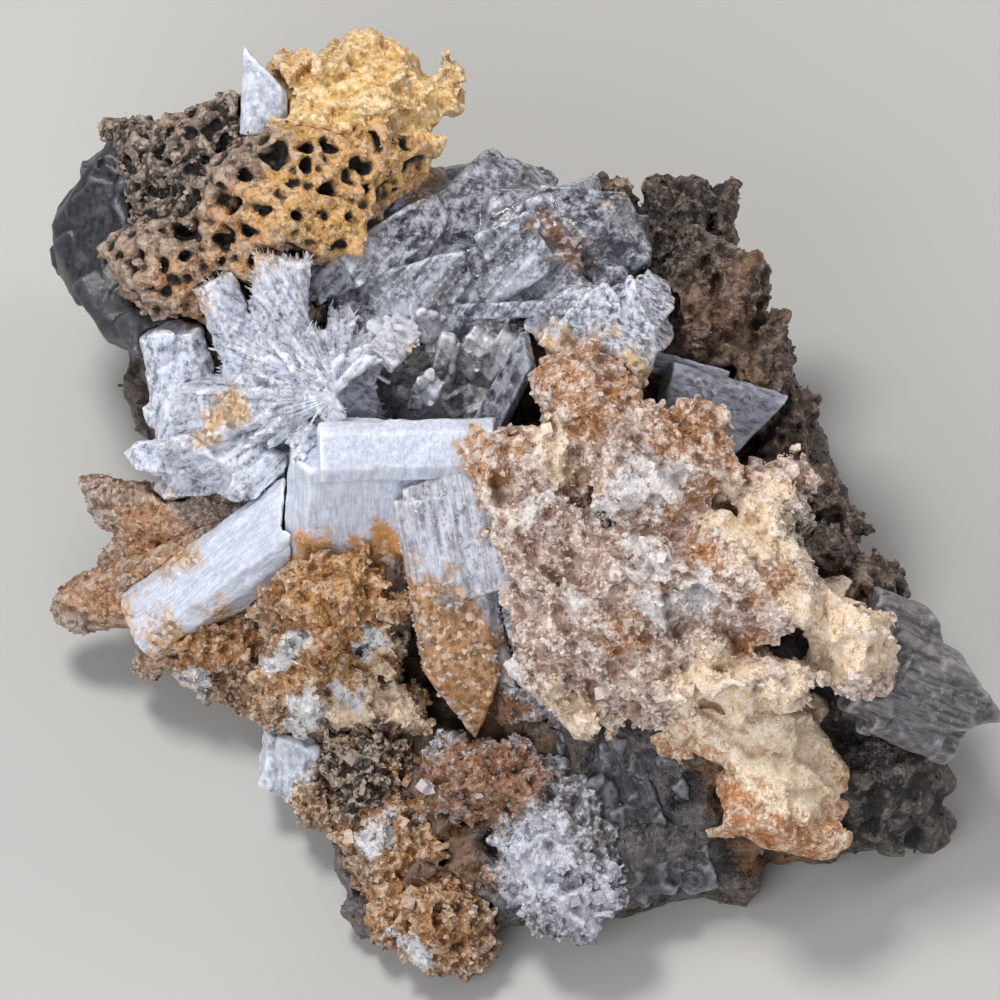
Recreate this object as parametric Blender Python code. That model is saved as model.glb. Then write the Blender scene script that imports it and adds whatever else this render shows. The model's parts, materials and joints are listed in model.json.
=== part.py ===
"""A cluster of crystals grown on iron-stained rock, about 95 mm across.

Run it with blender --background --python part.py, or from Blender's text editor.
Pieces are shaped in millimetres and scaled to metres when they are placed. +Z is up, and the
rock rests on its flat broken base, whose middle is the origin.
"""

import math
import random

import bmesh
import bpy
from mathutils import Matrix, Vector

MM = 0.001
VIEW_TILT = math.radians(60)  # forms are laid out as seen from the front, this far above the table
ACROSS_THE_VIEW = Vector((1, 0, 0))
UP_THE_VIEW = Vector((0, math.sin(VIEW_TILT), math.cos(VIEW_TILT)))
TOWARDS_VIEWER = Vector((0, -math.cos(VIEW_TILT), math.sin(VIEW_TILT)))

SOCKET_GAP = 0.3  # between a piece and the one it is seated in
CRYSTAL_CLEARANCE = 0.6  # crystals stay this far above the table, so that the rock alone rests on it
EDGE_BEVEL = 0.2  # a crystal's long edges, as a share of its thickness
THINNEST_BEVELLED = 3.5  # thinner crystals keep their square edges
FLATTEN_ANGLE = math.radians(4)  # faces this near one plane become one face
MERGE_WITHIN = 0.002  # points this close become one
SPARE_TIP = 0.2  # a crystal starts longer by this share, so that its end faces cut through it
KNOB_TIP = 0.45  # a knob's tip, as a share of its root
KNOB_SINK = 0.12  # how far a knob is rooted in its chunk, as a share of the chunk
KNOB_LEAN = 0.5  # how far a knob may lean away from upright
BOULDER_ROUGHNESS = 0.15
TABLE = (300, 300, 100)  # the block that cuts the base flat


def seen(across, up, height):
    """The point at this height above the table which the front view shows at (across, up)."""
    back = (up - height * math.cos(VIEW_TILT)) / math.sin(VIEW_TILT)
    return Vector((across, back, height))


def any_direction(draw):
    """A direction chosen evenly over the sphere."""
    rise = draw.uniform(-1, 1)
    turn = draw.uniform(0, 2 * math.pi)
    flat = math.sqrt(1 - rise * rise)
    return Vector((flat * math.cos(turn), flat * math.sin(turn), rise))


def shave(bm, point, normal):
    """Cuts away what lies beyond a plane, and closes the cut with a flat face."""
    parts = bm.verts[:] + bm.edges[:] + bm.faces[:]
    cut = bmesh.ops.bisect_plane(bm, geom=parts, plane_co=point, plane_no=normal, clear_outer=True)
    rim = [part for part in cut["geom_cut"] if isinstance(part, bmesh.types.BMEdge)]
    if rim:
        bmesh.ops.edgeloop_fill(bm, edges=rim)


def frame_of(right, up, forward, origin):
    """The matrix whose columns are three directions and an origin."""
    rows = Matrix((right, up, forward)).transposed().to_4x4()
    rows.translation = origin
    return rows


def box_of(bm):
    """The lowest and highest corner of a form."""
    return [[pick(vert.co[i] for vert in bm.verts) for i in range(3)] for pick in (min, max)]


# Every form below is a function of how much it is grown: pieces use it at 0, sockets at the gap.


def crystal(root, tip, width, thickness, end="chisel", taper=0.85, roll=0.0, steep=45.0, seed=1):
    """A tabular crystal from root to tip, its wide face turned to the viewer and its tip cut by faces."""

    def build(grow):
        draw = random.Random(seed)
        start = seen(*root)
        finish = seen(*tip)
        along = (finish - start).normalized()
        length = (finish - start).length + 2 * grow
        wide = width + 2 * grow
        thick = thickness + 2 * grow
        bm = bmesh.new()
        bmesh.ops.create_cube(bm, size=1.0)
        for vert in bm.verts:
            if vert.co.z > 0:
                vert.co.x *= taper
                vert.co.y *= taper
        bmesh.ops.scale(bm, vec=(wide, thick, length * (1 + SPARE_TIP)), verts=bm.verts)
        bmesh.ops.translate(bm, vec=(0, 0, length * SPARE_TIP / 2), verts=bm.verts)
        long_edges = [e for e in bm.edges if abs(e.verts[0].co.z - e.verts[1].co.z) > length / 2]
        if thickness > THINNEST_BEVELLED:
            bevel = EDGE_BEVEL * min(wide, thick)
            bmesh.ops.bevel(bm, geom=long_edges, offset=bevel, segments=1, affect="EDGES")
        rise = math.sin(math.radians(steep))
        run = math.cos(math.radians(steep))
        top = Vector((0, 0, (finish - start).length / 2))
        corner = top + Vector((width / 2 * draw.choice((-1, 1)), 0, 0))
        sways = [draw.uniform(-0.2, 0.2) for _ in range(4)]
        ends = {
            "flat": [(top, (sways[0], sways[1], 1))],
            "slant": [(corner, (-math.copysign(run, corner.x), sways[0], rise))],
            "chisel": [(top, (sways[0], run, rise)), (top, (sways[1], -run, rise))],
            "point": [
                (top, (run, sways[0], rise)),
                (top, (-run, sways[1], rise)),
                (top, (sways[2], run, rise)),
                (top, (sways[3], -run, rise)),
            ],
        }
        for point, direction in ends[end]:
            normal = Vector(direction).normalized()
            shave(bm, point + normal * grow, normal)
        facing = (TOWARDS_VIEWER - along * TOWARDS_VIEWER.dot(along)).normalized()
        place = frame_of(facing.cross(along), facing, along, (start + finish) / 2)
        bm.transform(place @ Matrix.Rotation(math.radians(roll), 4, "Z"))
        return bm

    return build


def broken_ball(seed, corners, roughness):
    """An uneven faceted ball with this many corners or fewer, from -1 to 1 on each axis."""
    draw = random.Random(seed)
    golden_turn = math.pi * (3 - math.sqrt(5))
    bm = bmesh.new()
    for step in range(corners):
        rise = 1 - 2 * (step + 0.5) / corners
        turn = golden_turn * step + draw.uniform(-0.3, 0.3)
        flat = math.sqrt(1 - rise * rise)
        way = Vector((flat * math.cos(turn), flat * math.sin(turn), rise))
        bm.verts.new(way * draw.uniform(1 - roughness, 1))
    hull = bmesh.ops.convex_hull(bm, input=bm.verts)
    inside = [part for part in hull["geom_interior"] if isinstance(part, bmesh.types.BMVert)]
    bmesh.ops.delete(bm, geom=inside, context="VERTS")
    tumble = Matrix.Rotation(draw.uniform(0, 6.3), 4, any_direction(draw))
    bm.transform(tumble)
    low, high = box_of(bm)
    for vert in bm.verts:
        vert.co = Vector([2 * (vert.co[i] - low[i]) / (high[i] - low[i]) - 1 for i in range(3)])
    return bm


def chunk(top, size, seed, lean=0.0, corners=11, roughness=0.25):
    """A broken lump. The point of it nearest the viewer is at top, and size is across, up and deep."""

    def build(grow):
        bm = broken_ball(seed, corners, roughness)
        bmesh.ops.scale(bm, vec=[side / 2 + grow for side in size], verts=bm.verts)
        bm.transform(chunk_axes(top, size, lean))
        return bm

    return build


def boulder(middle, size, seed, corners=20):
    """A lump of the rock under the crystals, placed by its middle in the specimen's own frame."""

    def build(grow):
        bm = broken_ball(seed, corners, BOULDER_ROUGHNESS)
        bmesh.ops.scale(bm, vec=[side / 2 + grow for side in size], verts=bm.verts)
        bmesh.ops.translate(bm, vec=middle, verts=bm.verts)
        return bm

    return build


def knob(place, outwards, width, length, sides, turn):
    """A small blunt crystal that stands on a surface."""

    def build(grow):
        bm = bmesh.new()
        root_radius = width / 2 + grow
        bmesh.ops.create_cone(
            bm,
            cap_ends=True,
            segments=sides,
            radius1=root_radius,
            radius2=root_radius * KNOB_TIP,
            depth=length + 2 * grow,
        )
        stand = outwards.to_track_quat("Z", "Y").to_matrix().to_4x4()
        bm.transform(Matrix.Translation(place) @ stand @ Matrix.Rotation(turn, 4, "Z"))
        return bm

    return build


def chunk_axes(top, size, lean):
    """The matrix of a chunk's middle and its across, up and deep directions."""
    middle = seen(*top) - TOWARDS_VIEWER * size[2] / 2
    place = frame_of(ACROSS_THE_VIEW, UP_THE_VIEW, TOWARDS_VIEWER, middle)
    return place @ Matrix.Rotation(math.radians(lean), 4, "Z")


def knobs(top, size, seed, count, width, length, lean=0.0):
    """Small crystals scattered over the side of a chunk that faces the viewer or the sky."""
    draw = random.Random(seed)
    axes = chunk_axes(top, size, lean)
    half = Vector([side / 2 for side in size])
    grown = []
    while len(grown) < count:
        way = any_direction(draw)
        if way.z < -0.25:
            continue
        spot = Vector([way[i] * half[i] * (1 - KNOB_SINK) for i in range(3)])
        outwards = Vector([way[i] / half[i] for i in range(3)]).normalized()
        outwards = (outwards + KNOB_LEAN * any_direction(draw)).normalized()
        size_here = draw.uniform(0.6, 1.25)
        grown.append(
            knob(
                axes @ spot,
                axes.to_3x3() @ outwards,
                width * size_here,
                length * size_here,
                4,
                draw.uniform(0, math.pi),
            )
        )
    return grown


def studded(top, size, seed, count, width=3.0, length=4.0, lean=0.0, **shape):
    """A chunk with small crystals on it."""
    return [
        chunk(top, size, seed, lean=lean, **shape),
        *knobs(top, size, seed, count, width, length, lean=lean),
    ]


def pits(top, size, seed, count, width, lean=0.0):
    """Rounded hollows scattered over the viewer's side of a chunk, as cutters."""
    draw = random.Random(seed)
    axes = chunk_axes(top, size, lean)
    cutters = []
    while len(cutters) < count:
        way = any_direction(draw)
        if way.z < 0.1:
            continue
        spot = axes @ Vector([way[i] * size[i] / 2 for i in range(3)])
        across = width * draw.uniform(0.6, 1.3)
        cutters.append(pit(spot, across, draw.uniform(0.6, 1.0), draw.uniform(0, math.pi)))
    return cutters


def pit(place, across, squash, turn):
    """One rounded hollow, as a cutter."""

    def build(grow):
        bm = bmesh.new()
        bmesh.ops.create_icosphere(bm, subdivisions=1, radius=across / 2)
        bmesh.ops.scale(bm, vec=(1, squash, 1), verts=bm.verts)
        bm.transform(Matrix.Translation(place) @ Matrix.Rotation(turn, 4, "Z"))
        return bm

    return build


# The forms of each piece. Places are (across, up, height) and sizes are in millimetres.


def block_crystal():
    """The big pale block in the middle: a body that leans back, and the plate that caps it."""
    return [
        crystal((-15.5, -1.0, 13), (-14.2, 16.0, 34), 13.6, 11, end="flat", taper=0.95, seed=3),
        crystal((-18.0, 15.2, 37), (-0.6, 15.7, 36.5), 6.0, 6.0, end="flat", taper=0.96, seed=4),
        crystal((-6.0, 6.0, 26.5), (-5.6, 15.5, 35), 10, 6.5, end="flat", taper=0.95, seed=5),
    ]


def gold_blade_crystal():
    """The long blade that runs down from the block and ends in a point."""
    return [
        crystal((-6.0, 11.5, 33.5), (-2.4, -13.4, 15.5), 9.4, 6.4, end="point", taper=0.8, steep=26, seed=6),
        crystal((-4.5, 7.0, 30), (-0.4, -9.0, 17.5), 6.5, 6.0, end="slant", taper=0.8, roll=20, seed=7),
    ]


def left_blade_crystal():
    """The long blade that points down to the left from under the block."""
    return [
        crystal((-16.0, 11.4, 29), (-35.2, -2.0, 10), 7.8, 7.5, end="flat", taper=0.92, roll=20, seed=8),
    ]


def leaning_blade_crystal():
    """The thin plate that leans over the right side of the hollow."""
    return [
        crystal((-1.8, 16.6, 31), (3.6, 27.0, 39), 3.2, 1.8, end="slant", taper=0.8, roll=-25, seed=9),
    ]


def left_stub_crystals():
    """The stubby prism at the left end of the spray, and the small ones below it."""
    return [
        crystal((-30.0, 14.0, 20), (-33.2, 28.4, 29), 7.2, 6.5, end="point", taper=0.85, steep=70, seed=10),
        crystal((-27.0, 18.0, 23), (-36.0, 19.6, 21), 4.0, 4.0, end="point", seed=13),
        crystal((-28.0, 13.8, 20), (-38.2, 15.4, 19), 3.4, 3.4, end="point", steep=35, seed=14),
        crystal((-27.0, 13.0, 19), (-35.0, 11.6, 16), 3.0, 3.0, end="point", steep=35, seed=15),
    ]


def white_top_crystal():
    """The white crystal beside the yellow knob at the back."""
    return [
        crystal((-23.6, 47.0, 40), (-23.4, 56.0, 45), 4.8, 4.0, end="slant", taper=0.9, seed=16),
    ]


def blue_slab_crystal():
    """The smooth blue-grey slab on the right."""
    return [
        crystal((16.0, 20.4, 31), (28.2, 17.2, 27), 8.2, 4.2, end="slant", taper=0.9, steep=60, seed=17),
        crystal((14.0, 24.6, 30), (22.5, 22.4, 28), 2.4, 3.0, end="flat", seed=18),
    ]


def grey_tip_crystal():
    """The silky grey crystal that ends in the point furthest right."""
    return [
        crystal((36.0, -5.5, 24), (50.2, -11.4, 17), 10.5, 6.0, end="point", taper=0.7, steep=32, seed=19),
        crystal((36.5, -1.0, 25), (44.6, -4.0, 22), 6.0, 5.0, end="point", steep=40, seed=20),
        crystal((37.0, -10.0, 21), (45.0, -13.6, 16), 5.4, 5.0, end="flat", seed=21),
    ]


def spray_crystals():
    """The white spray of needles above the left blade, the bed it grew from and two prisms behind it."""
    forms = [
        chunk((-20.0, 22.5, 35), (17, 13, 11), 22),
        chunk((-27.0, 19.0, 31), (12, 9, 10), 23),
        chunk((-26.0, 14.2, 28), (17, 8, 10), 24, lean=-12),
        crystal((-26.0, 14.0, 27), (-15.5, 9.8, 26), 6.0, 4.0, end="point", steep=35, seed=25),
        crystal((-23.6, 19.6, 29), (-28.6, 32.6, 35), 4.4, 4.2, end="flat", taper=0.9, roll=30, seed=11),
        crystal((-22.6, 21.6, 31), (-21.6, 34.8, 39), 5.6, 4.5, end="flat", taper=1.0, seed=12),
    ]
    draw = random.Random(26)
    for step in range(5):
        turn = math.radians(30 + 66 * step)
        reach = draw.uniform(6, 9)
        tip = (-18.5 + reach * math.cos(turn), 22.5 + reach * 0.8 * math.sin(turn), 35.5)
        forms.append(crystal((-18.5, 22.5, 33.5), tip, 2.4, 2.0, end="chisel", steep=35, seed=27 + step))
    return forms


def back_clear_crystals():
    """The grey and glassy crystals behind the hollow, with the lobed plate on their right."""
    forms = [
        *studded((-3.0, 40.0, 31), (18.5, 10, 13), 40, 1, width=3.4, length=4.2),
        *studded((-9.5, 35.6, 34), (16, 12, 14), 41, 2, width=3.2, length=4.0),
        chunk((-12.0, 30.5, 32), (14, 12, 12), 42),
        crystal((-7.0, 29.0, 29), (4.5, 38.0, 37), 8.5, 6.0, end="slant", taper=0.9, seed=43),
        crystal((-8.0, 30.2, 31), (11.0, 30.6, 33), 3.6, 3.4, end="flat", taper=0.9, seed=44),
        chunk((8.6, 36.6, 37.5), (14, 11, 8), 45, lean=-12),
        chunk((1.6, 37.0, 33.5), (11, 11, 9), 46),
        chunk((-17.0, 34.6, 36), (9, 9, 10), 47, corners=9),
    ]
    for step in range(4):
        turn = math.radians(-58 + 37 * step)
        place = (8.4 + 5.4 * math.cos(turn), 36.4 + 4.2 * math.sin(turn), 36.4 - 0.4 * step)
        forms.append(chunk(place, (3.4, 3.4, 4.0), 48 + step, corners=8))
    return forms


def right_clear_crystals():
    """The pale glassy blades on the right rim of the hollow."""
    return [
        crystal((7.0, 25.0, 35), (13.4, 30.0, 39), 6.0, 4.0, end="chisel", seed=60),
        crystal((11.5, 23.0, 36), (15.6, 32.0, 40), 6.2, 3.6, end="slant", taper=0.9, seed=61),
        crystal((4.0, 26.5, 34), (9.6, 31.6, 38), 4.4, 3.4, end="point", seed=62),
        chunk((9.5, 25.5, 37.5), (10, 7, 8), 63),
    ]


def hollow_crust():
    """The crust of small glassy crystals that lines the hollow."""
    return [
        *studded((-6.0, 23.6, 28), (18, 13, 8), 64, 6, width=3.0, length=4.4),
        crystal((-8.6, 20.6, 26), (-6.8, 23.0, 31.5), 2.4, 1.8, end="point", seed=65),
        crystal((-2.5, 24.0, 28), (1.6, 28.5, 32), 3.0, 2.2, end="chisel", seed=66),
        crystal((-11.0, 26.0, 27), (-8.0, 29.0, 31.5), 3.6, 2.6, end="chisel", seed=67),
    ]


def brown_left_blades():
    """The stained blades that fan out to the left, lower down."""
    return [
        crystal((-24.0, 7.5, 16), (-42.8, 10.6, 12), 6.2, 5.5, end="slant", taper=0.75, steep=55, seed=70),
        crystal((-26.0, 4.0, 15), (-45.2, -0.8, 6.5), 9.0, 6.5, end="point", taper=0.45, steep=50, seed=71),
        crystal((-25.0, 0.0, 12), (-37.0, -6.8, 5), 3.6, 3.6, end="point", taper=0.8, seed=72),
        chunk((-35.0, 5.0, 13), (11, 8, 8), 73),
    ]


def far_left_crystal():
    """The smooth grey crystal face behind the porous rock on the far left."""
    return [
        chunk((-40.0, 38.4, 28), (10.5, 18, 13), 74, lean=-14),
        chunk((-38.0, 43.0, 30), (8, 8, 11), 75),
        crystal((-40.5, 33.0, 24), (-34.6, 23.6, 22), 5.4, 5.0, end="slant", taper=0.9, seed=76),
        crystal((-36.0, 29.5, 25), (-31.0, 22.0, 24), 6.0, 5.0, end="slant", seed=77),
    ]


def front_druse():
    """The rusty foot of the block, with pale lumps along its lower edge."""
    return [
        *studded((-17.0, 0.6, 28.5), (15.5, 12.6, 13), 80, 2),
        crystal((-18.5, -1.0, 21), (-21.8, -13.2, 9), 8.0, 8.0, end="point", taper=0.8, steep=40, seed=81),
        *studded((-16.0, -7.5, 17.5), (14, 10, 10), 82, 2),
        chunk((-11.6, -4.8, 20.5), (4.4, 5.0, 5), 83),
        *studded((-10.6, -10.6, 15.5), (7.5, 5.4, 6), 84, 2, width=2.4, length=2.8),
        chunk((-20.6, -8.8, 14.5), (5.5, 7, 6), 85),
    ]


def left_foot_druse():
    """The lump of druse under the left blade, and the dark ledge below it."""
    return [
        *studded((-27.0, -3.0, 14.0), (12, 9, 10), 86, 2, width=2.4, length=3.2),
        chunk((-30.5, -5.0, 10.0), (6.5, 6.5, 7), 79),
        chunk((-25.0, -8.0, 8.5), (10, 6.5, 9), 137),
    ]


def right_druse():
    """The big sparkling stained mass that overhangs the right half of the front."""
    return [
        *studded((9.0, 20.6, 43), (11, 12, 12), 90, 2),
        *studded((3.4, 12.6, 41), (13.5, 11, 11), 91, 2),
        *studded((6.0, 6.0, 38), (17, 10.5, 10), 92, 2, lean=-28),
        *studded((16.4, 12.8, 44.5), (15.4, 15, 14), 93, 2),
        *studded((14.0, 1.0, 39), (18, 15, 12), 94, 2, lean=-20),
        *studded((23.0, 2.0, 39.5), (19, 15, 13), 95, 2, lean=-15),
        *studded((27.0, 9.2, 39.5), (9, 10.5, 10), 96, 2),
        chunk((35.0, -3.0, 33), (10.5, 12.5, 11), 97, lean=18),
        *studded((24.5, -7.2, 33), (17, 6.0, 9), 98, 2, lean=-8),
        *studded((8.0, -2.4, 34), (15, 14, 12), 89, 2, lean=10),
        chunk((14.5, -7.6, 31), (11, 8.5, 10), 88),
        chunk((9.6, -8.0, 28), (7, 8, 8), 87),
        crystal((11.0, -2.0, 29), (10.9, -13.4, 20), 3.6, 3.2, end="point", steep=35, seed=100),
        crystal((8.4, -1.0, 29), (8.0, -8.0, 24), 4.0, 3.6, end="point", seed=101),
    ]


def grey_spur():
    """The grey-blue spur between the gold blade and the right mass, with a cream lump at its foot."""
    return [
        crystal((1.4, 3.0, 27), (2.6, -10.6, 15), 6.4, 6.0, end="flat", taper=0.9, seed=102),
        *studded((2.2, -4.6, 22.5), (7.5, 10, 8), 103, 2, width=2.4, length=3.0),
        chunk((7.0, -10.6, 18.5), (4.2, 4.6, 5), 104),
    ]


def cream_lobe():
    """The cream and peach lobe under the right mass."""
    return [
        chunk((23.5, -11.6, 25.5), (16.5, 8.6, 11), 105),
        chunk((28.0, -17.0, 21.5), (13.5, 12, 11), 106),
        chunk((29.0, -22.0, 17.0), (10.0, 6.0, 9), 107),
        chunk((18.6, -12.4, 22.5), (4.5, 6.5, 7), 108),
    ]


def back_plates():
    """The dark plates that stand behind the hollow, right of the clear lobe."""
    return [
        crystal((18.0, 30.5, 22), (19.4, 42.4, 28), 9.0, 6.0, end="chisel", taper=0.9, steep=65, seed=110),
        crystal((12.6, 35.0, 20), (9.6, 43.6, 24), 4.6, 4.4, end="point", seed=111),
        crystal((13.0, 34.0, 20), (13.6, 43.2, 25.5), 4.8, 3.6, end="slant", seed=112),
        chunk((15.5, 35.0, 24), (9, 9, 8), 109),
    ]


def right_plates():
    """The stained plates at the back of the right side."""
    return [
        chunk((21.2, 30.6, 34), (12, 13.4, 10), 113, lean=-15),
        *studded((24.0, 24.0, 31), (10.5, 9.5, 9), 114, 2, lean=-30),
        chunk((19.0, 26.0, 32), (9, 9, 9), 108),
    ]


def right_edge_druse():
    """The dark druse down the right side, below the big stained mass."""
    return [
        *studded((28.0, 17.0, 25), (7.5, 10, 10), 115, 1),
        *studded((30.6, 9.8, 24), (12.5, 9.5, 10), 116, 2, lean=-35),
        crystal((29.0, 9.0, 21), (36.6, 7.4, 20), 4.8, 4.6, end="point", seed=117),
        chunk((33.4, 4.4, 24), (6.5, 6.0, 7), 118),
        chunk((37.0, 1.0, 24.5), (7.5, 7.4, 9), 119),
    ]


def lower_druse():
    """The grey-blue lobe of small crystals at the front, and the rusty druse above it."""
    return [
        *studded((5.6, -24.6, 15.0), (13.0, 17.5, 12), 120, 4, width=2.8, length=3.8, lean=14),
        *studded((0.4, -17.0, 17.5), (11, 8, 9), 121, 2),
        *studded((-4.0, -17.4, 15.5), (8, 9, 8), 122, 2),
    ]


def front_tip():
    """The front corner: a ridge of stained druse with a few white crystals, on a smooth grey face."""
    return [
        *studded((-5.6, -31.4, 9.5), (11.5, 11.5, 10), 130, 2),
        *studded((-10.4, -24.0, 11.0), (9.5, 11, 9), 131, 2, lean=-30),
        *studded((-13.0, -16.0, 12.5), (11, 8, 9), 132, 2),
        crystal((-7.2, -29.0, 10), (-8.6, -35.2, 6.5), 2.6, 2.6, end="chisel", seed=133),
        chunk((-18.2, -19.6, 9.0), (5.5, 6.0, 7), 134),
        crystal((-14.6, -20.0, 7), (-9.0, -36.0, 3.8), 5.0, 4.4, end="slant", seed=135),
    ]


def front_left_face():
    """The shiny white crystal face low on the left of the front."""
    return [
        chunk((-20.2, -15.2, 10.0), (8.0, 8.6, 10), 136),
    ]


def matrix_rock():
    """The rock under everything, with the porous mass and the yellow knob at the back left."""
    return [
        boulder((-3, 2, 6), (54, 48, 22), 150, corners=16),
        boulder((17, -14, 9), (38, 32, 33), 151, corners=16),
        boulder((-23, 22, 14), (30, 30, 38), 152, corners=18),
        boulder((-20, 8, 10), (25, 24, 29), 153, corners=16),
        boulder((-30, 28, 13), (17, 22, 28), 154, corners=16),
        boulder((-4, -26, 3), (28, 30, 17), 155, corners=16),
        boulder((29, -18, 8), (34, 30, 24), 156, corners=16),
        boulder((5, 22, 11), (36, 26, 28), 157, corners=16),
        boulder((-22, 2, 6), (28, 28, 18), 158, corners=14),
        boulder((15, -25, 4), (26, 24, 22), 159, corners=16),
        boulder((23, 6, 9), (24, 32, 26), 149, corners=16),
        chunk((-23.0, 40.0, 43.5), (25, 18, 18), 160, lean=12, corners=26, roughness=0.3),
        chunk((-31.5, 34.5, 38.5), (16, 14, 16), 161, lean=20, corners=16, roughness=0.3),
        chunk((-13.0, 43.6, 42.0), (15, 9, 12), 162, lean=20, corners=16, roughness=0.3),
        chunk((-29.0, 45.6, 41.0), (17, 10, 14), 148, lean=18),
        chunk((-36.0, 43.0, 33.0), (9, 12, 16), 163),
        chunk((-14.0, 51.0, 46.0), (17, 14.0, 16), 164, lean=12),
        chunk((-20.6, 51.0, 44.5), (7, 9, 12), 165),
        chunk((-5.2, 52.0, 42.0), (5.0, 6.6, 8), 166),
        chunk((39.0, -18.6, 11.5), (15, 13, 13), 168),
        chunk((41.6, -14.4, 13.5), (8, 6, 8), 169),
        chunk((43.4, -21.6, 8.0), (5, 7, 9), 170),
        chunk((22.6, -27.6, 4.6), (7, 5.5, 7), 171),
        *knobs((-23.0, 40.0, 43.5), (25, 18, 18), 190, 5, 3.4, 3.8, lean=12),
        *knobs((-31.5, 34.5, 38.5), (16, 14, 16), 191, 2, 3.2, 3.6, lean=20),
        *knobs((-14.0, 51.0, 46.0), (17, 14.0, 16), 192, 3, 3.6, 3.2, lean=12),
    ]


def matrix_pits():
    """The hollows of the porous mass, and the dark cleft on its left."""
    return [
        *pits((-23.0, 40.0, 43.5), (25, 18, 18), 193, 5, 4.6, lean=12),
        *pits((-31.5, 34.5, 38.5), (16, 14, 16), 194, 3, 4.2, lean=20),
    ]


# Name, forms, base colour, roughness. A piece is cut by every piece above it that it meets.

PIECES = [
    ("block_crystal", block_crystal, (0.72, 0.78, 0.90), 0.25),
    ("gold_blade_crystal", gold_blade_crystal, (0.52, 0.36, 0.19), 0.45),
    ("left_blade_crystal", left_blade_crystal, (0.66, 0.72, 0.84), 0.25),
    ("leaning_blade_crystal", leaning_blade_crystal, (0.66, 0.70, 0.80), 0.2),
    ("left_stub_crystals", left_stub_crystals, (0.70, 0.74, 0.84), 0.3),
    ("white_top_crystal", white_top_crystal, (0.82, 0.86, 0.92), 0.3),
    ("blue_slab_crystal", blue_slab_crystal, (0.42, 0.48, 0.60), 0.3),
    ("grey_tip_crystal", grey_tip_crystal, (0.45, 0.44, 0.46), 0.35),
    ("spray_crystals", spray_crystals, (0.80, 0.82, 0.88), 0.35),
    ("right_clear_crystals", right_clear_crystals, (0.74, 0.78, 0.86), 0.25),
    ("back_clear_crystals", back_clear_crystals, (0.50, 0.52, 0.58), 0.2),
    ("hollow_crust", hollow_crust, (0.55, 0.56, 0.60), 0.15),
    ("brown_left_blades", brown_left_blades, (0.42, 0.27, 0.17), 0.6),
    ("far_left_crystal", far_left_crystal, (0.40, 0.41, 0.45), 0.35),
    ("grey_spur", grey_spur, (0.50, 0.52, 0.60), 0.35),
    ("front_druse", front_druse, (0.56, 0.38, 0.22), 0.6),
    ("left_foot_druse", left_foot_druse, (0.34, 0.25, 0.18), 0.6),
    ("right_druse", right_druse, (0.62, 0.48, 0.38), 0.5),
    ("cream_lobe", cream_lobe, (0.80, 0.62, 0.42), 0.5),
    ("back_plates", back_plates, (0.22, 0.17, 0.15), 0.6),
    ("right_plates", right_plates, (0.34, 0.24, 0.17), 0.6),
    ("right_edge_druse", right_edge_druse, (0.30, 0.22, 0.17), 0.6),
    ("lower_druse", lower_druse, (0.52, 0.50, 0.54), 0.45),
    ("front_tip", front_tip, (0.48, 0.36, 0.26), 0.55),
    ("front_left_face", front_left_face, (0.70, 0.70, 0.74), 0.3),
    ("matrix_rock", matrix_rock, (0.30, 0.20, 0.13), 0.8),
]


def collection_named(name, hidden):
    """A collection in the scene. A hidden one holds helpers, which no render shows."""
    made = bpy.data.collections.new(name)
    bpy.context.scene.collection.children.link(made)
    made.hide_render = hidden
    return made


def helper(bm, name, collection):
    """A helper object made from a form."""
    bm.normal_update()
    bmesh.ops.recalc_face_normals(bm, faces=bm.faces)
    if bm.calc_volume(signed=True) < 0:
        bmesh.ops.reverse_faces(bm, faces=bm.faces)
    mesh = bpy.data.meshes.new(name)
    bm.to_mesh(mesh)
    bm.free()
    made = bpy.data.objects.new(name, mesh)
    made.hide_render = True
    made.display_type = "WIRE"
    collection.objects.link(made)
    return made


def table_cutter(height, collection):
    """A block that takes away everything below this height."""
    bm = bmesh.new()
    bmesh.ops.create_cube(bm, size=1.0)
    bmesh.ops.scale(bm, vec=TABLE, verts=bm.verts)
    bmesh.ops.translate(bm, vec=(0, 0, height - TABLE[2] / 2), verts=bm.verts)
    return helper(bm, "table", collection)


def with_modifiers(start, joined, cutters):
    """The mesh of start joined with one collection and cut by another."""
    for operation, others in (("UNION", joined), ("DIFFERENCE", cutters)):
        if not others.objects:
            continue
        modifier = start.modifiers.new(operation, "BOOLEAN")
        modifier.operation = operation
        modifier.operand_type = "COLLECTION"
        modifier.collection = others
        modifier.solver = "EXACT"
    bpy.context.view_layer.update()
    graph = bpy.context.evaluated_depsgraph_get()
    return bpy.data.meshes.new_from_object(start.evaluated_get(graph))


def island_of(face, left):
    """The faces joined to this one, taken out of those left."""
    left.discard(face)
    found = [face]
    for reached in found:
        for edge in reached.edges:
            for other in edge.link_faces:
                if other in left:
                    left.discard(other)
                    found.append(other)
    return found


def keep_largest_body(bm):
    """Drops the crumbs that the cuts left loose."""
    left = set(bm.faces)
    islands = []
    while left:
        islands.append(island_of(next(iter(left)), left))
    largest = max(islands, key=lambda faces: sum(face.calc_area() for face in faces))
    crumbs = [face for island in islands if island is not largest for face in island]
    bmesh.ops.delete(bm, geom=crumbs, context="FACES")


def tidy(mesh):
    """Merges what coincides, flattens flat areas, keeps one body and leaves triangles."""
    bm = bmesh.new()
    bm.from_mesh(mesh)
    bmesh.ops.remove_doubles(bm, verts=bm.verts, dist=MERGE_WITHIN)
    bmesh.ops.dissolve_degenerate(bm, edges=bm.edges, dist=MERGE_WITHIN)
    keep_largest_body(bm)
    bmesh.ops.dissolve_limit(bm, angle_limit=FLATTEN_ANGLE, verts=bm.verts, edges=bm.edges)
    bmesh.ops.triangulate(bm, faces=bm.faces)
    bm.to_mesh(mesh)
    bm.free()


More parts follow.
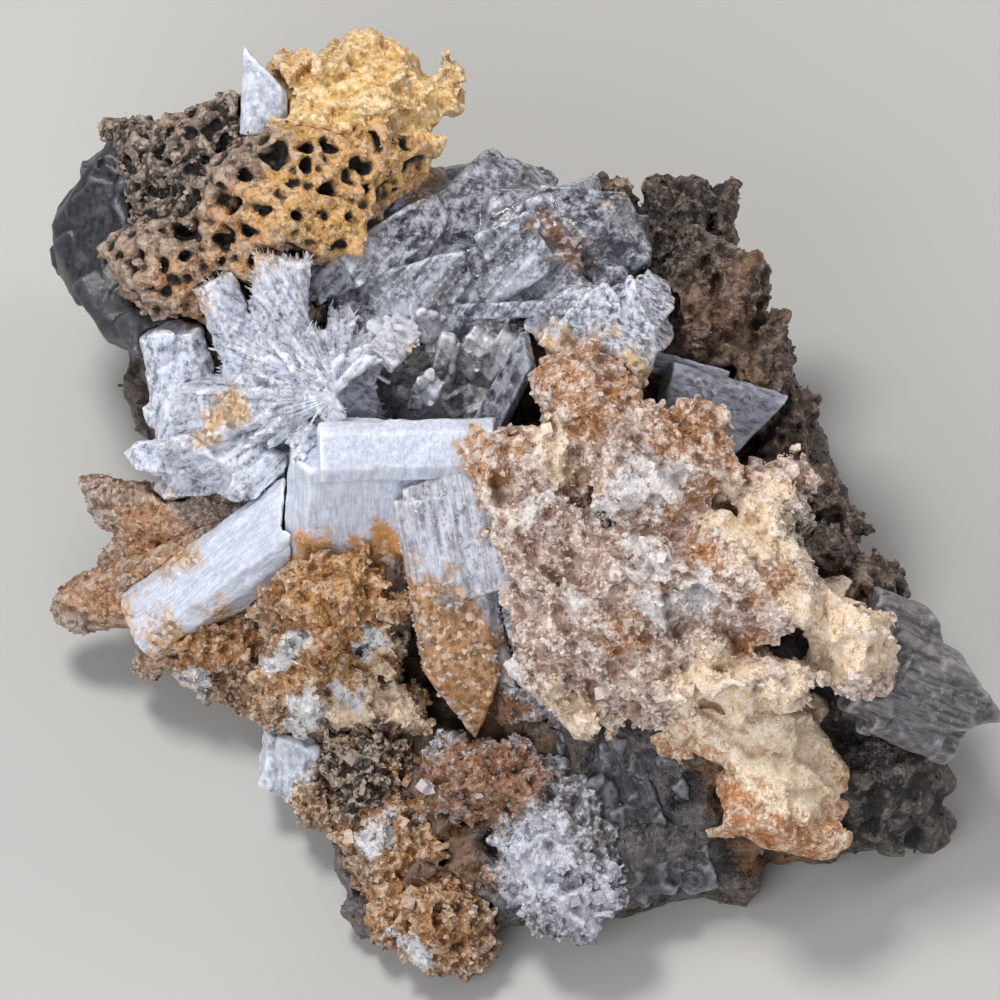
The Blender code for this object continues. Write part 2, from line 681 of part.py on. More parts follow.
def material(name, colour, roughness):
    made = bpy.data.materials.new(name)
    made.use_nodes = True
    shader = made.node_tree.nodes["Principled BSDF"]
    shader.inputs["Base Color"].default_value = (*colour, 1.0)
    shader.inputs["Roughness"].default_value = roughness
    return made


def meets(box, other):
    """Whether two boxes, grown by the gap, share any space."""
    return all(
        box[0][i] - SOCKET_GAP < other[1][i] and other[0][i] - SOCKET_GAP < box[1][i] for i in range(3)
    )


def make_piece(name, forms, cutting_forms, floor, parts, helpers):
    """Joins a piece's forms, cuts the sockets that it leaves for its neighbours, and places it."""
    joined = collection_named(name + " joined", hidden=True)
    cutters = collection_named(name + " cutters", hidden=True)
    boxes = [box_of(form(0.0)) for form in forms]
    for form in cutting_forms:
        grown = form(SOCKET_GAP)
        if any(meets(box_of(grown), box) for box in boxes):
            helper(grown, "socket", cutters)
    table_cutter(floor, cutters)
    start = helper(forms[0](0.0), name + " start", helpers)
    for form in forms[1:]:
        helper(form(0.0), "form", joined)
    mesh = with_modifiers(start, joined, cutters)
    tidy(mesh)
    corners = [vert.co for vert in mesh.vertices]
    middle = sum(corners, Vector()) / len(corners)
    mesh.transform(Matrix.Scale(MM, 4) @ Matrix.Translation(-middle))
    for collection in (joined, cutters):
        for used in list(collection.objects):
            bpy.data.objects.remove(used)
        bpy.data.collections.remove(collection)
    bpy.data.objects.remove(start)
    made = bpy.data.objects.new(name, mesh)
    made.location = middle * MM
    parts.objects.link(made)
    return made


def main():
    for old in list(bpy.data.objects):
        bpy.data.objects.remove(old)
    parts = collection_named("Crystal cluster", hidden=False)
    helpers = collection_named("Helpers", hidden=True)
    specimen = bpy.data.objects.new("Specimen", None)
    parts.objects.link(specimen)
    placed = []
    for name, forms_of, colour, roughness in PIECES:
        rock = name == "matrix_rock"
        cutting = placed + matrix_pits() if rock else placed
        floor = 0.0 if rock else CRYSTAL_CLEARANCE
        forms = forms_of()
        made = make_piece(name, forms, cutting, floor, parts, helpers)
        made.data.materials.clear()
        made.data.materials.append(material(name, colour, roughness))
        made.parent = specimen
        placed = placed + forms
        print(name, len(made.data.polygons), "triangles")


main()
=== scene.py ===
import json
import math
import random

import bmesh
import bpy
import numpy as np
from mathutils import Matrix, Vector
from mathutils.bvhtree import BVHTree

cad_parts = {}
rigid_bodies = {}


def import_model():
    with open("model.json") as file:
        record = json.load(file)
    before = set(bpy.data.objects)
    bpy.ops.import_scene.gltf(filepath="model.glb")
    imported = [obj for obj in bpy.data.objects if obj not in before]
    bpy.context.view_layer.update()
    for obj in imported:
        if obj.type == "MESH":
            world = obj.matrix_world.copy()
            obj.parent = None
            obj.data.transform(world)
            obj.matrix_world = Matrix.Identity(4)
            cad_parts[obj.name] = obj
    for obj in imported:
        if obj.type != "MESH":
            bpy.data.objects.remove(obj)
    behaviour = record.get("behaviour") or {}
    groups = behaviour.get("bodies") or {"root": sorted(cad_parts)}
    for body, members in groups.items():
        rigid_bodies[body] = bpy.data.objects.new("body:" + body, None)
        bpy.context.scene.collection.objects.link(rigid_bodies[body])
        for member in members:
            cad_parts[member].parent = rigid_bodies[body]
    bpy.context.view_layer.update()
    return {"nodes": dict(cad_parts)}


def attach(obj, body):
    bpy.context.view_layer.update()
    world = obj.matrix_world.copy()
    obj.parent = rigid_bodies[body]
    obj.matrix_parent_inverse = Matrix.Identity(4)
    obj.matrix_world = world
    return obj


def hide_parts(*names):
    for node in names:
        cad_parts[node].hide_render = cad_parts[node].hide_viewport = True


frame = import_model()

mm = 0.001
viewTilt = math.radians(60)  # the photograph looks down on the specimen at this angle
across = Vector((1, 0, 0))
upTheView = Vector((0, math.sin(viewTilt), math.cos(viewTilt)))
towardsViewer = Vector((0, -math.cos(viewTilt), math.sin(viewTilt)))
mergeWithin = 0.01 * mm  # loose triangles of a CAD solid meet within this
sharpEdge = math.radians(35)  # edges sharper than this stay sharp
hollowRounds = 14  # rounds of smoothing that a hollow's depth is measured against


def seen(right, up, height):
    # the point at this height (mm) that shows at (right, up) in the photograph's view
    back = (up - height * math.cos(viewTilt)) / math.sin(viewTilt)
    return Vector((right, back, height)) * mm


def srgb(red, green, blue):
    # a colour named from 0 to 255, as a shader takes it
    values = [c / 255 for c in (red, green, blue)]
    return [c / 12.92 if c <= 0.04045 else ((c + 0.055) / 1.055) ** 2.4 for c in values] + [1.0]


# node trees, in a material or in geometry nodes

class Signal:
    # a socket that can be used in sums
    def __init__(self, wires, socket):
        self.wires = wires
        self.socket = socket

    def maths(self, operation, *others):
        values = dict(enumerate((self, *others)))
        return self.wires.node("ShaderNodeMath", {"operation": operation}, values)

    def __add__(self, other):
        return self.maths("ADD", other)

    def __radd__(self, other):
        return self.maths("ADD", other)

    def __sub__(self, other):
        return self.maths("SUBTRACT", other)

    def __rsub__(self, other):
        return self.wires.node("ShaderNodeMath", {"operation": "SUBTRACT"}, {0: other, 1: self})

    def __mul__(self, other):
        return self.maths("MULTIPLY", other)

    def __rmul__(self, other):
        return self.maths("MULTIPLY", other)

    def above(self, start, end):
        # 0 below start, 1 above end, smooth between
        settings = {"interpolation_type": "SMOOTHSTEP"}
        return self.wires.node("ShaderNodeMapRange", settings, {0: self, 1: start, 2: end})


class Wires:
    def __init__(self, tree):
        self.tree = tree

    def node(self, kind, settings=None, inputs=None, output=0):
        made = self.tree.nodes.new(kind)
        for name, value in (settings or {}).items():
            setattr(made, name, value)
        for name, value in (inputs or {}).items():
            if isinstance(value, Signal):
                self.tree.links.new(value.socket, made.inputs[name])
            else:
                made.inputs[name].default_value = value
        if output is None:
            return made
        return Signal(self, made.outputs[output])

    def vector(self, operation, *values, output=0):
        return self.node("ShaderNodeVectorMath", {"operation": operation}, dict(enumerate(values)), output)

    def scaled(self, vector, amount):
        made = self.node("ShaderNodeVectorMath", {"operation": "SCALE"}, {0: vector, "Scale": amount}, None)
        return Signal(self, made.outputs[0])

    def mix(self, factor, first, second):
        settings = {"data_type": "RGBA"}
        return self.node("ShaderNodeMix", settings, {0: factor, 6: first, 7: second}, 2)

    def noise(self, place, scale, detail, roughness):
        inputs = {"Vector": place, "Scale": scale, "Detail": detail, "Roughness": roughness}
        return self.node("ShaderNodeTexNoise", None, inputs)

    def cells(self, place, scale, *outputs):
        # what is asked for of one pattern of cells, such as Distance, Position and Color
        made = self.node("ShaderNodeTexVoronoi", None, {"Vector": place, "Scale": scale}, None)
        return [Signal(self, made.outputs[name]) for name in outputs]


# picking, copying and finishing pieces

def pick(*objs):
    bpy.ops.object.select_all(action="DESELECT")
    for obj in objs:
        obj.select_set(True)
    bpy.context.view_layer.objects.active = objs[0]


def applied(obj, kind, **settings):
    # adds a modifier and applies it
    modifier = obj.modifiers.new(kind, kind)
    for name, value in settings.items():
        setattr(modifier, name, value)
    pick(obj)
    bpy.ops.object.modifier_apply(modifier=modifier.name)


def copyOfNode(nodeName, pieceName):
    # a copy of a CAD solid, with its loose triangles merged
    node = frame["nodes"][nodeName]
    piece = bpy.data.objects.new(pieceName, node.data.copy())
    bpy.context.scene.collection.objects.link(piece)
    piece.data.materials.clear()
    pick(piece)
    bpy.ops.object.mode_set(mode="EDIT")
    bpy.ops.mesh.select_all(action="SELECT")
    bpy.ops.mesh.remove_doubles(threshold=mergeWithin)
    bpy.ops.object.mode_set(mode="OBJECT")
    return piece


def selectFaces(obj, test):
    # in edit mode, selects the faces that pass the test and no others
    mesh = bmesh.from_edit_mesh(obj.data)
    mesh.select_mode = {"FACE"}
    for face in mesh.faces:
        face.select_set(test(face))
    mesh.select_flush_mode()
    bmesh.update_edit_mesh(obj.data)


# small crystals that are modelled once and scattered

def newPrimitive(name, operator, **settings):
    bpy.ops.object.select_all(action="DESELECT")
    operator(**settings)
    made = bpy.context.active_object
    made.name = name
    return made


def prismCrystal(name, sides, width, thin, tip):
    # stands on the origin, 1 long, with a tip that narrows
    made = newPrimitive(
        name, bpy.ops.mesh.primitive_cylinder_add,
        vertices=sides, radius=width / 2, depth=0.8, location=(0, 0, 0.3), end_fill_type="NGON",
    )
    bpy.ops.object.mode_set(mode="EDIT")
    bpy.ops.mesh.select_all(action="SELECT")
    bpy.ops.transform.resize(value=(1, thin, 1))
    selectFaces(made, lambda face: face.normal.z > 0.9)
    bpy.ops.mesh.extrude_region_move(TRANSFORM_OT_translate={"value": (0.05, 0, 0.2)})
    bpy.ops.transform.resize(value=(tip, 1.0 if thin < 0.5 else tip, 1))
    bpy.ops.object.mode_set(mode="OBJECT")
    return made


def rhombCrystal(name, stretch):
    # a skewed block standing on its corner, as calcite grows
    made = newPrimitive(name, bpy.ops.mesh.primitive_cube_add, size=0.6, location=(0, 0, 0.25))
    made.rotation_euler = (math.radians(45), math.radians(35.3), 0)
    pick(made)
    bpy.ops.object.transform_apply(location=False, rotation=True, scale=False)
    made.scale = (1, 0.85, stretch)
    return made


def moldCollection(name, crystals):
    # the small crystals that one kind of crust picks from
    made = bpy.data.collections.new(name)
    bpy.context.scene.collection.children.link(made)
    for crystal in crystals:
        pick(crystal)
        bpy.ops.object.transform_apply(location=True, rotation=True, scale=True)
        for other in list(crystal.users_collection):
            other.objects.unlink(crystal)
        made.objects.link(crystal)
    return made


molds = {
    "blades": moldCollection("blades", [
        prismCrystal("thinBlade", 5, 0.34, 0.55, 0.12), prismCrystal("flatBlade", 6, 0.74, 0.28, 0.45),
        rhombCrystal("longRhomb", 1.2), rhombCrystal("bladeRhomb", 0.8),
    ]),
    "needles": moldCollection("needles", [
        prismCrystal("needle", 4, 0.16, 0.7, 0.3), prismCrystal("thinNeedle", 4, 0.1, 0.8, 0.4),
        prismCrystal("flatNeedle", 4, 0.3, 0.3, 0.3),
    ]),
    "grains": moldCollection("grains", [
        rhombCrystal("grain", 0.8), rhombCrystal("tallGrain", 1.1), prismCrystal("chip", 4, 0.8, 0.4, 0.5),
    ]),
}
print("small crystals modelled")


# crystals modelled one by one and laid where the photograph shows them

solidPoints = []
solidFaces = []
for node in frame["nodes"].values():
    first = len(solidPoints)
    solidPoints += [vert.co.copy() for vert in node.data.vertices]
    solidFaces += [[first + index for index in face.vertices] for face in node.data.polygons]
solids = BVHTree.FromPolygons(solidPoints, solidFaces)


def surfaceAt(right, up):
    # the point of the solids that shows at (right, up), in mm of the photograph's view
    point = solids.ray_cast(seen(right, up, 20) + towardsViewer, -towardsViewer)[0]
    return point if point is not None else seen(right, up, 15)


def layCrystal(name, root, tip, width, thickness, lifts=(-1.0, 1.0), point=0.55, roll=0.0):
    # a tabular crystal from root to tip, wide face to the viewer, with a tip that narrows
    start = surfaceAt(*root) + towardsViewer * lifts[0] * mm
    finish = surfaceAt(*tip) + towardsViewer * lifts[1] * mm
    length = (finish - start).length
    made = newPrimitive(name, bpy.ops.mesh.primitive_cube_add, size=1.0)
    bpy.ops.object.mode_set(mode="EDIT")
    bpy.ops.mesh.select_all(action="SELECT")
    bpy.ops.transform.resize(value=(width * mm, thickness * mm, length * 0.82))
    selectFaces(made, lambda face: face.normal.z > 0.9)
    bpy.ops.mesh.extrude_region_move(
        TRANSFORM_OT_translate={"value": (width * mm * 0.12, 0, length * 0.18)}
    )
    bpy.ops.transform.resize(value=(point, 0.5, 1))
    bpy.ops.mesh.select_all(action="SELECT")
    bpy.ops.transform.translate(value=(0, 0, length * 0.41))
    bpy.ops.object.mode_set(mode="OBJECT")
    along = (finish - start).normalized()
    face = (towardsViewer - along * towardsViewer.dot(along)).normalized()
    turn = Matrix((face.cross(along), face, along)).transposed()
    made.rotation_euler = (turn @ Matrix.Rotation(math.radians(roll), 3, "Z")).to_euler()
    made.location = start
    pick(made)
    bpy.ops.object.transform_apply(location=True, rotation=True, scale=True)
    return made


def fanOfCrystals(name, fan):
    # thin crystals that spread from a centre between two turns of the view, in degrees
    draw = random.Random(fan["seed"])
    made = []
    for step in range(fan["count"]):
        turn = math.radians(draw.uniform(*fan["turns"]))
        start = (draw.uniform(0.5, 3.0), draw.uniform(*fan["reach"]))
        right, up = fan["centre"]
        root, tip = [(right + far * math.cos(turn), up + far * math.sin(turn)) for far in start]
        width = draw.uniform(*fan["width"])
        lifts = (draw.uniform(-0.5, 0.5), draw.uniform(0.3, 1.8))
        roll = draw.uniform(-40, 40)
        made.append(layCrystal(name + str(step), root, tip, width, width * 0.6, lifts, 0.3, roll))
    return made


def boxAround(name, low, high):
    # a box between two corners, in mm, that cuts a piece
    centre = [(a + b) / 2 * mm for a, b in zip(low, high)]
    made = newPrimitive(name, bpy.ops.mesh.primitive_cube_add, size=1.0, location=centre)
    made.scale = [(b - a) * mm for a, b in zip(low, high)]
    pick(made)
    bpy.ops.object.transform_apply(location=True, rotation=True, scale=True)
    return made


# surface relief and crust, made with geometry nodes

def geometryTree(name):
    tree = bpy.data.node_groups.new(name, "GeometryNodeTree")
    tree.interface.new_socket("Geometry", in_out="INPUT", socket_type="NodeSocketGeometry")
    tree.interface.new_socket("Geometry", in_out="OUTPUT", socket_type="NodeSocketGeometry")
    wires = Wires(tree)
    return wires, wires.node("NodeGroupInput")


def spotInMm(wires):
    place = wires.node("GeometryNodeInputPosition")
    return wires.scaled(place, 1 / mm)


def along(wires, place, axis):
    # the place turned so that Z runs along an axis
    turn = Vector(axis).normalized().rotation_difference(Vector((0, 0, 1))).to_euler()
    return wires.node(
        "ShaderNodeVectorRotate", {"rotation_type": "EULER_XYZ"}, {"Vector": place, "Rotation": turn}
    )


def fibres(wires, place, grain):
    # a place stretched out along the grain, which is an axis or fans out from a centre in the view
    if len(grain) == 3:
        return wires.vector("MULTIPLY", along(wires, place, grain), (1, 1, 0.07))
    right = wires.vector("DOT_PRODUCT", place, tuple(across), output="Value") - grain[0]
    up = wires.vector("DOT_PRODUCT", place, tuple(upTheView), output="Value") - grain[1]
    turn = up.maths("ARCTAN2", right)
    reach = (right * right + up * up).maths("SQRT")
    return wires.node("ShaderNodeCombineXYZ", None, {"X": turn * 9.0, "Y": reach * 0.12, "Z": 0.0})


def facets(wires, place, size):
    # flat facets that tilt their own way, the step of each, both about -1 to 1, and each one's own colour
    cell, own = wires.cells(place, 1 / size, "Position", "Color")
    lean = wires.vector("SUBTRACT", own, (0.5, 0.5, 0.5))
    offset = wires.vector("SUBTRACT", place, cell)
    slope = wires.vector("DOT_PRODUCT", offset, lean, output="Value") * (2.4 / size)
    step = wires.vector("DOT_PRODUCT", lean, (0.6, 0.5, 0.6), output="Value")
    return slope, step, own


def reliefHeight(wires, place, relief, seed):
    # how far (mm) a point of the surface is pushed out, from the kinds of relief asked for
    shift = wires.vector("ADD", place, (seed * 7.3, seed * 3.1, seed * 5.7))

    def waves(where, size, depth, octaves, roughness):
        return (wires.noise(where, 1 / size, octaves, roughness) - 0.5) * (2 * depth)

    height = 0
    for kind, values in relief.items():
        depth, size = values[:2]
        if kind == "lumps":
            height = height + waves(shift, size, depth, 3, 0.5)
        elif kind in ("facets", "chips"):
            slope, step = facets(wires, shift, size)[:2]
            height = height + slope * depth + step * depth
        elif kind == "grains":
            height = height + (0.45 - wires.cells(shift, 1 / size, "Distance")[0]) * depth
        elif kind == "ledges":
            stretched = wires.vector("MULTIPLY", along(wires, shift, values[2]), (1, 1, 0.3))
            slope, step = facets(wires, stretched, size)[:2]
            height = height + slope * depth * 0.6 + step * depth * 1.4
        elif kind == "pits":
            hole = wires.noise(shift, 1 / size, 3, 0.6).above(0.48, 0.6)
            where = wires.noise(shift, 0.25 / size, 2, 0.5).above(0.36, 0.52)
            height = height - hole * (where * 0.7 + 0.3) * depth
        elif kind == "lines":
            height = height + waves(fibres(wires, shift, values[2]), size, depth, 3, 0.6)
        elif kind == "fan":
            height = height + waves(fibres(wires, place, values[2]), size, depth, 3, 0.6)
        else:
            height = height + waves(shift, size, depth, 4, 0.7)
    return height


def reliefTree(name, relief, seed):
    wires, start = geometryTree(name)
    place = spotInMm(wires)
    height = reliefHeight(wires, place, relief, seed)
    rise = wires.node("ShaderNodeSeparateXYZ", None, {0: place}, "Z")
    calm = rise.above(0.1, 1.6)  # the flat base stays flat
    push = wires.scaled(wires.node("GeometryNodeInputNormal"), height * calm * mm)
    moved = wires.node("GeometryNodeSetPosition", None, {"Geometry": start, "Offset": push})
    wires.node("NodeGroupOutput", None, {0: moved}, output=None)
    return wires.tree


def hollowTree(name, rounds):
    # keeps how deep (mm) each point lies below the surface around it
    wires, start = geometryTree(name)
    place = wires.node("GeometryNodeInputPosition")
    smoothed = wires.node(
        "GeometryNodeBlurAttribute", {"data_type": "FLOAT_VECTOR"}, {"Value": place, "Iterations": rounds}
    )
    gap = wires.scaled(wires.vector("SUBTRACT", smoothed, place), 1 / mm)
    depth = wires.vector("DOT_PRODUCT", gap, wires.node("GeometryNodeInputNormal"), output="Value")
    kept = wires.node(
        "GeometryNodeStoreNamedAttribute",
        {"data_type": "FLOAT", "domain": "POINT"},
        {"Geometry": start, "Name": "hollow", "Value": depth},
    )
    wires.node("NodeGroupOutput", None, {0: kept}, output=None)
    return wires.tree


def crustTree(name, crust, seed):
    # small crystals standing on the surface, joined to it
    wires, start = geometryTree(name)
    place = spotInMm(wires)
    normal = wires.node("GeometryNodeInputNormal")
    facing = wires.node("ShaderNodeSeparateXYZ", None, {0: normal}, "Z").above(-0.75, -0.1)
    patches = wires.noise(place, crust.get("patch", 0.22), 2, 0.5).above(0.36, 0.52)
    spread = wires.node(
        "GeometryNodeDistributePointsOnFaces",
        {"distribute_method": "RANDOM"},
        {"Mesh": start, "Density": facing * patches * (crust["perSquare"] / mm ** 2), "Seed": seed},
        output=None,
    )
    points = Signal(wires, spread.outputs["Points"])
    outwards = Signal(wires, spread.outputs["Normal"])

    def chance(low, high, step, kind="FLOAT"):
        # one random value for each crystal
        first, output = (2, 1) if kind == "FLOAT" else (0, 0)
        values = {"Seed": seed + step, first: low, first + 1: high}
        return wires.node("FunctionNodeRandomValue", {"data_type": kind}, values, output)

    lean = wires.scaled(chance((-1, -1, -1), (1, 1, 1), 1, "FLOAT_VECTOR"), crust["lean"])
    way = wires.vector("ADD", outwards, lean)
    if "fan" in crust:
        centre = seen(*crust["fan"]) / mm
        outward = wires.vector("NORMALIZE", wires.vector("SUBTRACT", place, tuple(centre)))
        way = wires.vector("ADD", way, wires.scaled(outward, crust["fanPull"]))
    turned = wires.node("FunctionNodeAlignRotationToVector", {"axis": "Z"}, {"Vector": way})
    spin = wires.node("ShaderNodeCombineXYZ", None, {"Z": chance(0, 6.28, 2)})
    turned = wires.node(
        "FunctionNodeRotateRotation", {"rotation_space": "LOCAL"}, {"Rotation": turned, "Rotate By": spin}
    )
    small, large = crust["size"]
    size = chance(0, 1, 3)
    size = (size * size * size * (large - small) + small) * mm
    points = wires.node(
        "GeometryNodeStoreNamedAttribute",
        {"data_type": "FLOAT", "domain": "POINT"},
        {"Geometry": points, "Name": "tint", "Value": chance(0.02, 1, 4)},
    )
    sunk = wires.scaled(outwards, size * -crust.get("sink", 0.15))
    points = wires.node("GeometryNodeSetPosition", None, {"Geometry": points, "Offset": sunk})
    kinds = wires.node(
        "GeometryNodeCollectionInfo",
        None,
        {"Collection": molds[crust["kind"]], "Separate Children": True, "Reset Children": True},
    )
    grown = wires.node(
        "GeometryNodeInstanceOnPoints",
        None,
        {"Points": points, "Instance": kinds, "Pick Instance": True, "Rotation": turned, "Scale": size},
    )
    grown = wires.node("GeometryNodeRealizeInstances", None, {"Geometry": grown})
    joined = wires.node("GeometryNodeJoinGeometry", output=None)
    wires.tree.links.new(grown.socket, joined.inputs[0])
    wires.tree.links.new(start.socket, joined.inputs[0])
    wires.node("NodeGroupOutput", None, {0: Signal(wires, joined.outputs[0])}, output=None)
    return wires.tree


# stains and spots of painted shade, each as (right, up, radius, strength) in mm, as the photograph shows
# them

stains = {
    "ochre": [
        (-12, 49, 9, 1), (-17, 50, 6, 1), (-14, 45, 5, 1), (-9, 52, 5, 0.9), (-21, 41, 5, 0.8),
        (-17, 37, 5, 0.9), (-23, 33, 3.5, 0.7), (-12, 42.5, 4, 0.9), (-8, 44.5, 4, 0.8),
        (-19, 4, 3, 1), (-14.5, 4.6, 3, 1), (-11, 5.6, 2.6, 1), (-18, -1.5, 2.5, 0.6), (-15, -6, 2.5, 0.6),
    ],
    "grey": [
        (14, -16, 6, 1), (16, -24, 7, 1), (11, -20, 5, 1), (22, -20, 5, 0.7), (-15, -28, 4, 0.8),
        (-12, -33, 4, 0.8),
    ],
    "rust": [
        (-15, -1, 8, 0.9), (-17, -7, 7, 0.8), (-19, 4.5, 1.6, 0.7), (-14, 5, 1.8, 0.8),
        (-5, -3.5, 5, 1), (-2, -9, 5, 1), (-7, 1, 3, 0.8),
        (6, 36, 3.2, 0.8), (8.2, 34.6, 2.2, 0.6), (3.5, 37.6, 1.6, 0.5),
        (6, 23.5, 4.5, 1), (9, 26, 2.5, 0.7), (-2, 13.5, 2.5, 0.9), (-1, 16, 2, 0.9),
        (27, 10.5, 2.5, 0.8), (19, 18.5, 4.5, 0.9), (14, 22, 4, 0.8),
        (22, 15, 3, 0.8), (9, 20.5, 4, 0.8), (20, 4.5, 3, 0.7), (28, 1.5, 3.5, 0.8), (12, -3.5, 3, 0.6),
        (24, -3.5, 2.5, 0.8), (19, 10.5, 3, 0.5), (3, 17, 2.5, 0.7),
        (28, -23.5, 5.5, 1), (23, -18.5, 4, 0.9), (19, -13.5, 2.5, 0.7), (32, -19, 3, 0.7),
        (0, -16.5, 6, 1), (-3, -24.5, 4.5, 1), (-7, -17.5, 5, 0.9), (-8, -28.5, 6, 0.9),
        (-5, -33.5, 3.5, 0.8), (-11, -22, 5, 0.7),
        (-17, 40.5, 7, 0.9), (-10, 44.5, 5, 1), (-5.5, 52.5, 3, 1), (-2, -18, 6, 1),
        (-26, 37, 5, 0.8), (-32, 32.5, 4, 0.7),
        (-14, 42, 4, 0.9), (-27.5, 18.5, 2.8, 0.9),
        (-35, 6.5, 5, 0.8), (-40, 0.5, 5, 0.7), (-33, -4.5, 4, 0.8), (-28, -4, 4.5, 0.8),
        (22, 28.5, 7, 0.5), (24.5, 23.5, 4, 0.5), (24.5, 34.5, 2.5, 0.7), (30, 12.5, 4, 0.4),
    ],
    "cream": [
        (25.5, 8.5, 4.5, 1), (28.5, 6, 3.2, 0.9), (5.5, 16.5, 1.8, 1), (6, 14, 1.8, 1), (4.5, 12.5, 1.5, 1),
        (3, 8.5, 2.5, 0.5), (12, 9.5, 2, 0.7), (33, -1.5, 5.5, 1), (36, -4, 4.5, 1), (21.5, 12, 1.2, 0.9),
        (24, -6.5, 3.5, 0.7), (30, -7.5, 2.5, 0.8), (22, -9.5, 6, 1), (28, -13.5, 6.5, 1),
        (29, -18, 4.5, 0.9), (19, -10.5, 3, 0.9), (7, -10.5, 3, 1), (-13, -9.5, 3.5, 0.9),
        (-10, -10.5, 2.5, 1), (-16.5, -10.5, 3, 0.9), (-11.5, -4, 2.2, 0.9), (13.5, 41.5, 2.5, 1),
        (-8, 25.5, 1.2, 1), (10, -12.5, 1.8, 0.7), (4.5, 17, 1.5, 1),
    ],
    "white": [
        (-21.5, -4.5, 2, 1), (-13.5, -3.5, 1.8, 1), (-15, -8.5, 1.5, 1), (-20, -11.5, 2.5, 1),
        (-12, -23.5, 2.4, 1), (-9, -34.5, 2, 1), (12, 10.5, 3, 0.8), (15.5, 13, 3, 0.8),
        (20, 0.5, 3, 0.7), (16, 0.5, 2.5, 0.8), (14, 4.5, 3, 0.7), (4, -25.5, 6, 0.9), (9, -29.5, 4, 0.9),
        (-21, -15.5, 3.5, 1), (-30, -7.5, 2.2, 0.9), (1.5, -6.5, 2.5, 0.6), (8, 1, 2, 0.5),
        (2.5, 33, 4, 0.45), (5.5, 31.5, 3, 0.4), (-14.5, 36, 3.5, 0.5), (-4, 42.5, 2, 0.4),
        (-7.5, 21.2, 1.6, 1), (-12, 27, 4, 0.6), (-9, 28.5, 3.4, 0.55),
        (-15, 27.5, 2.5, 0.5), (4, 9, 3, 0.5),
    ],
    # the darkest spots: partly rock and plates of darker colour, partly painted shade in clefts, under
    # overhangs and in the shadowed void beside the gossan
    "darkAndShade": [
        (-35, 42.5, 6, 0.9), (-38, 46.5, 6, 1), (-28, 47.5, 4, 0.8), (-9.5, -3.5, 2.2, 0.7),
        (18, 39.5, 7, 0.8), (38, -19.5, 9, 1), (-10, -15, 3, 0.6), (33, 8, 7, 0.5),
        (-14.5, -16.5, 5, 1), (9, 36.5, 4.5, 0.5),
    ],
}


def spotMask(places, spots):
    # how stained or shaded each place is, from 0 to 1, fading out at each spot's ragged rim
    swirl = 0.9 * np.sin(places[:, ::-1] * 0.8 + 1.0) + 0.45 * np.sin(places[:, ::-1] * 2.3 + places)
    places = places + swirl
    mask = np.zeros(len(places))
    for right, up, radius, strength in spots:
        gap = np.hypot(places[:, 0] - right, places[:, 1] - up) / radius
        mask = np.maximum(mask, strength * np.clip(1.3 - gap, 0, 1))
    return mask


def paint(piece):
    # writes the stains and the spots of painted shade on the side of the piece that faces the viewer, by
    # where each point shows
    count = len(piece.data.vertices)
    points = np.empty(count * 3)
    piece.data.vertices.foreach_get("co", points)
    points = points.reshape(-1, 3) / mm
    normals = np.empty(count * 3)
    piece.data.vertex_normals.foreach_get("vector", normals)
    facing = normals.reshape(-1, 3) @ np.array(towardsViewer)
    towards = np.clip((facing + 0.45) / 0.5, 0, 1)
    places = np.column_stack([points @ np.array(across), points @ np.array(upTheView)])
    for name, spots in stains.items():
        layer = piece.data.attributes.new(name, "FLOAT", "POINT")
        layer.data.foreach_set("value", (spotMask(places, spots) * towards).astype(np.float32))


# materials

def newMaterial(name):
    made = bpy.data.materials.new(name)
    made.use_nodes = True
    made.node_tree.nodes.clear()
    return made, Wires(made.node_tree)


def attribute(wires, name):
    return wires.node("ShaderNodeAttribute", {"attribute_name": name}, None, "Fac")


def placeInMm(wires):
    return wires.scaled(wires.node("ShaderNodeTexCoord", None, None, "Object"), 1 / mm)


def stainedColour(wires, place, palette, ground):
    # the ground colour, with its stains and its spots of painted shade laid over it in turn
    ragged = (wires.noise(place, 0.6, 3, 0.72) - 0.5) * 1.8
    fine = (wires.noise(place, 2.2, 3, 0.7) - 0.5) * 1.4
    colour = ground
    for name in ("grey", "rust", "ochre", "cream", "white", "darkAndShade"):
        if name in palette:
            amount = attribute(wires, name) * 1.3 + ragged + fine
            present = attribute(wires, name).above(0.02, 0.25)
            rim = amount.above(*palette.get("stainRim", (0.3, 0.75)))
            colour = wires.mix(rim * present, colour, palette[name])
    return colour


def sugar(wires, place, size):
    # tiny crystals: a height made of tilted facets, and a number of its own for each crystal
    slope, step, own = facets(wires, place, size)
    return slope * 0.5 + step * 0.4, wires.node("ShaderNodeSeparateColor", None, {0: own}, 0)


# in mm
grainSizes = {"druse": 0.42, "largeDruse": 1.05, "crystalSkin": 0.5}
bumpDepths = {"druse": 0.22, "crystal": 0.15}


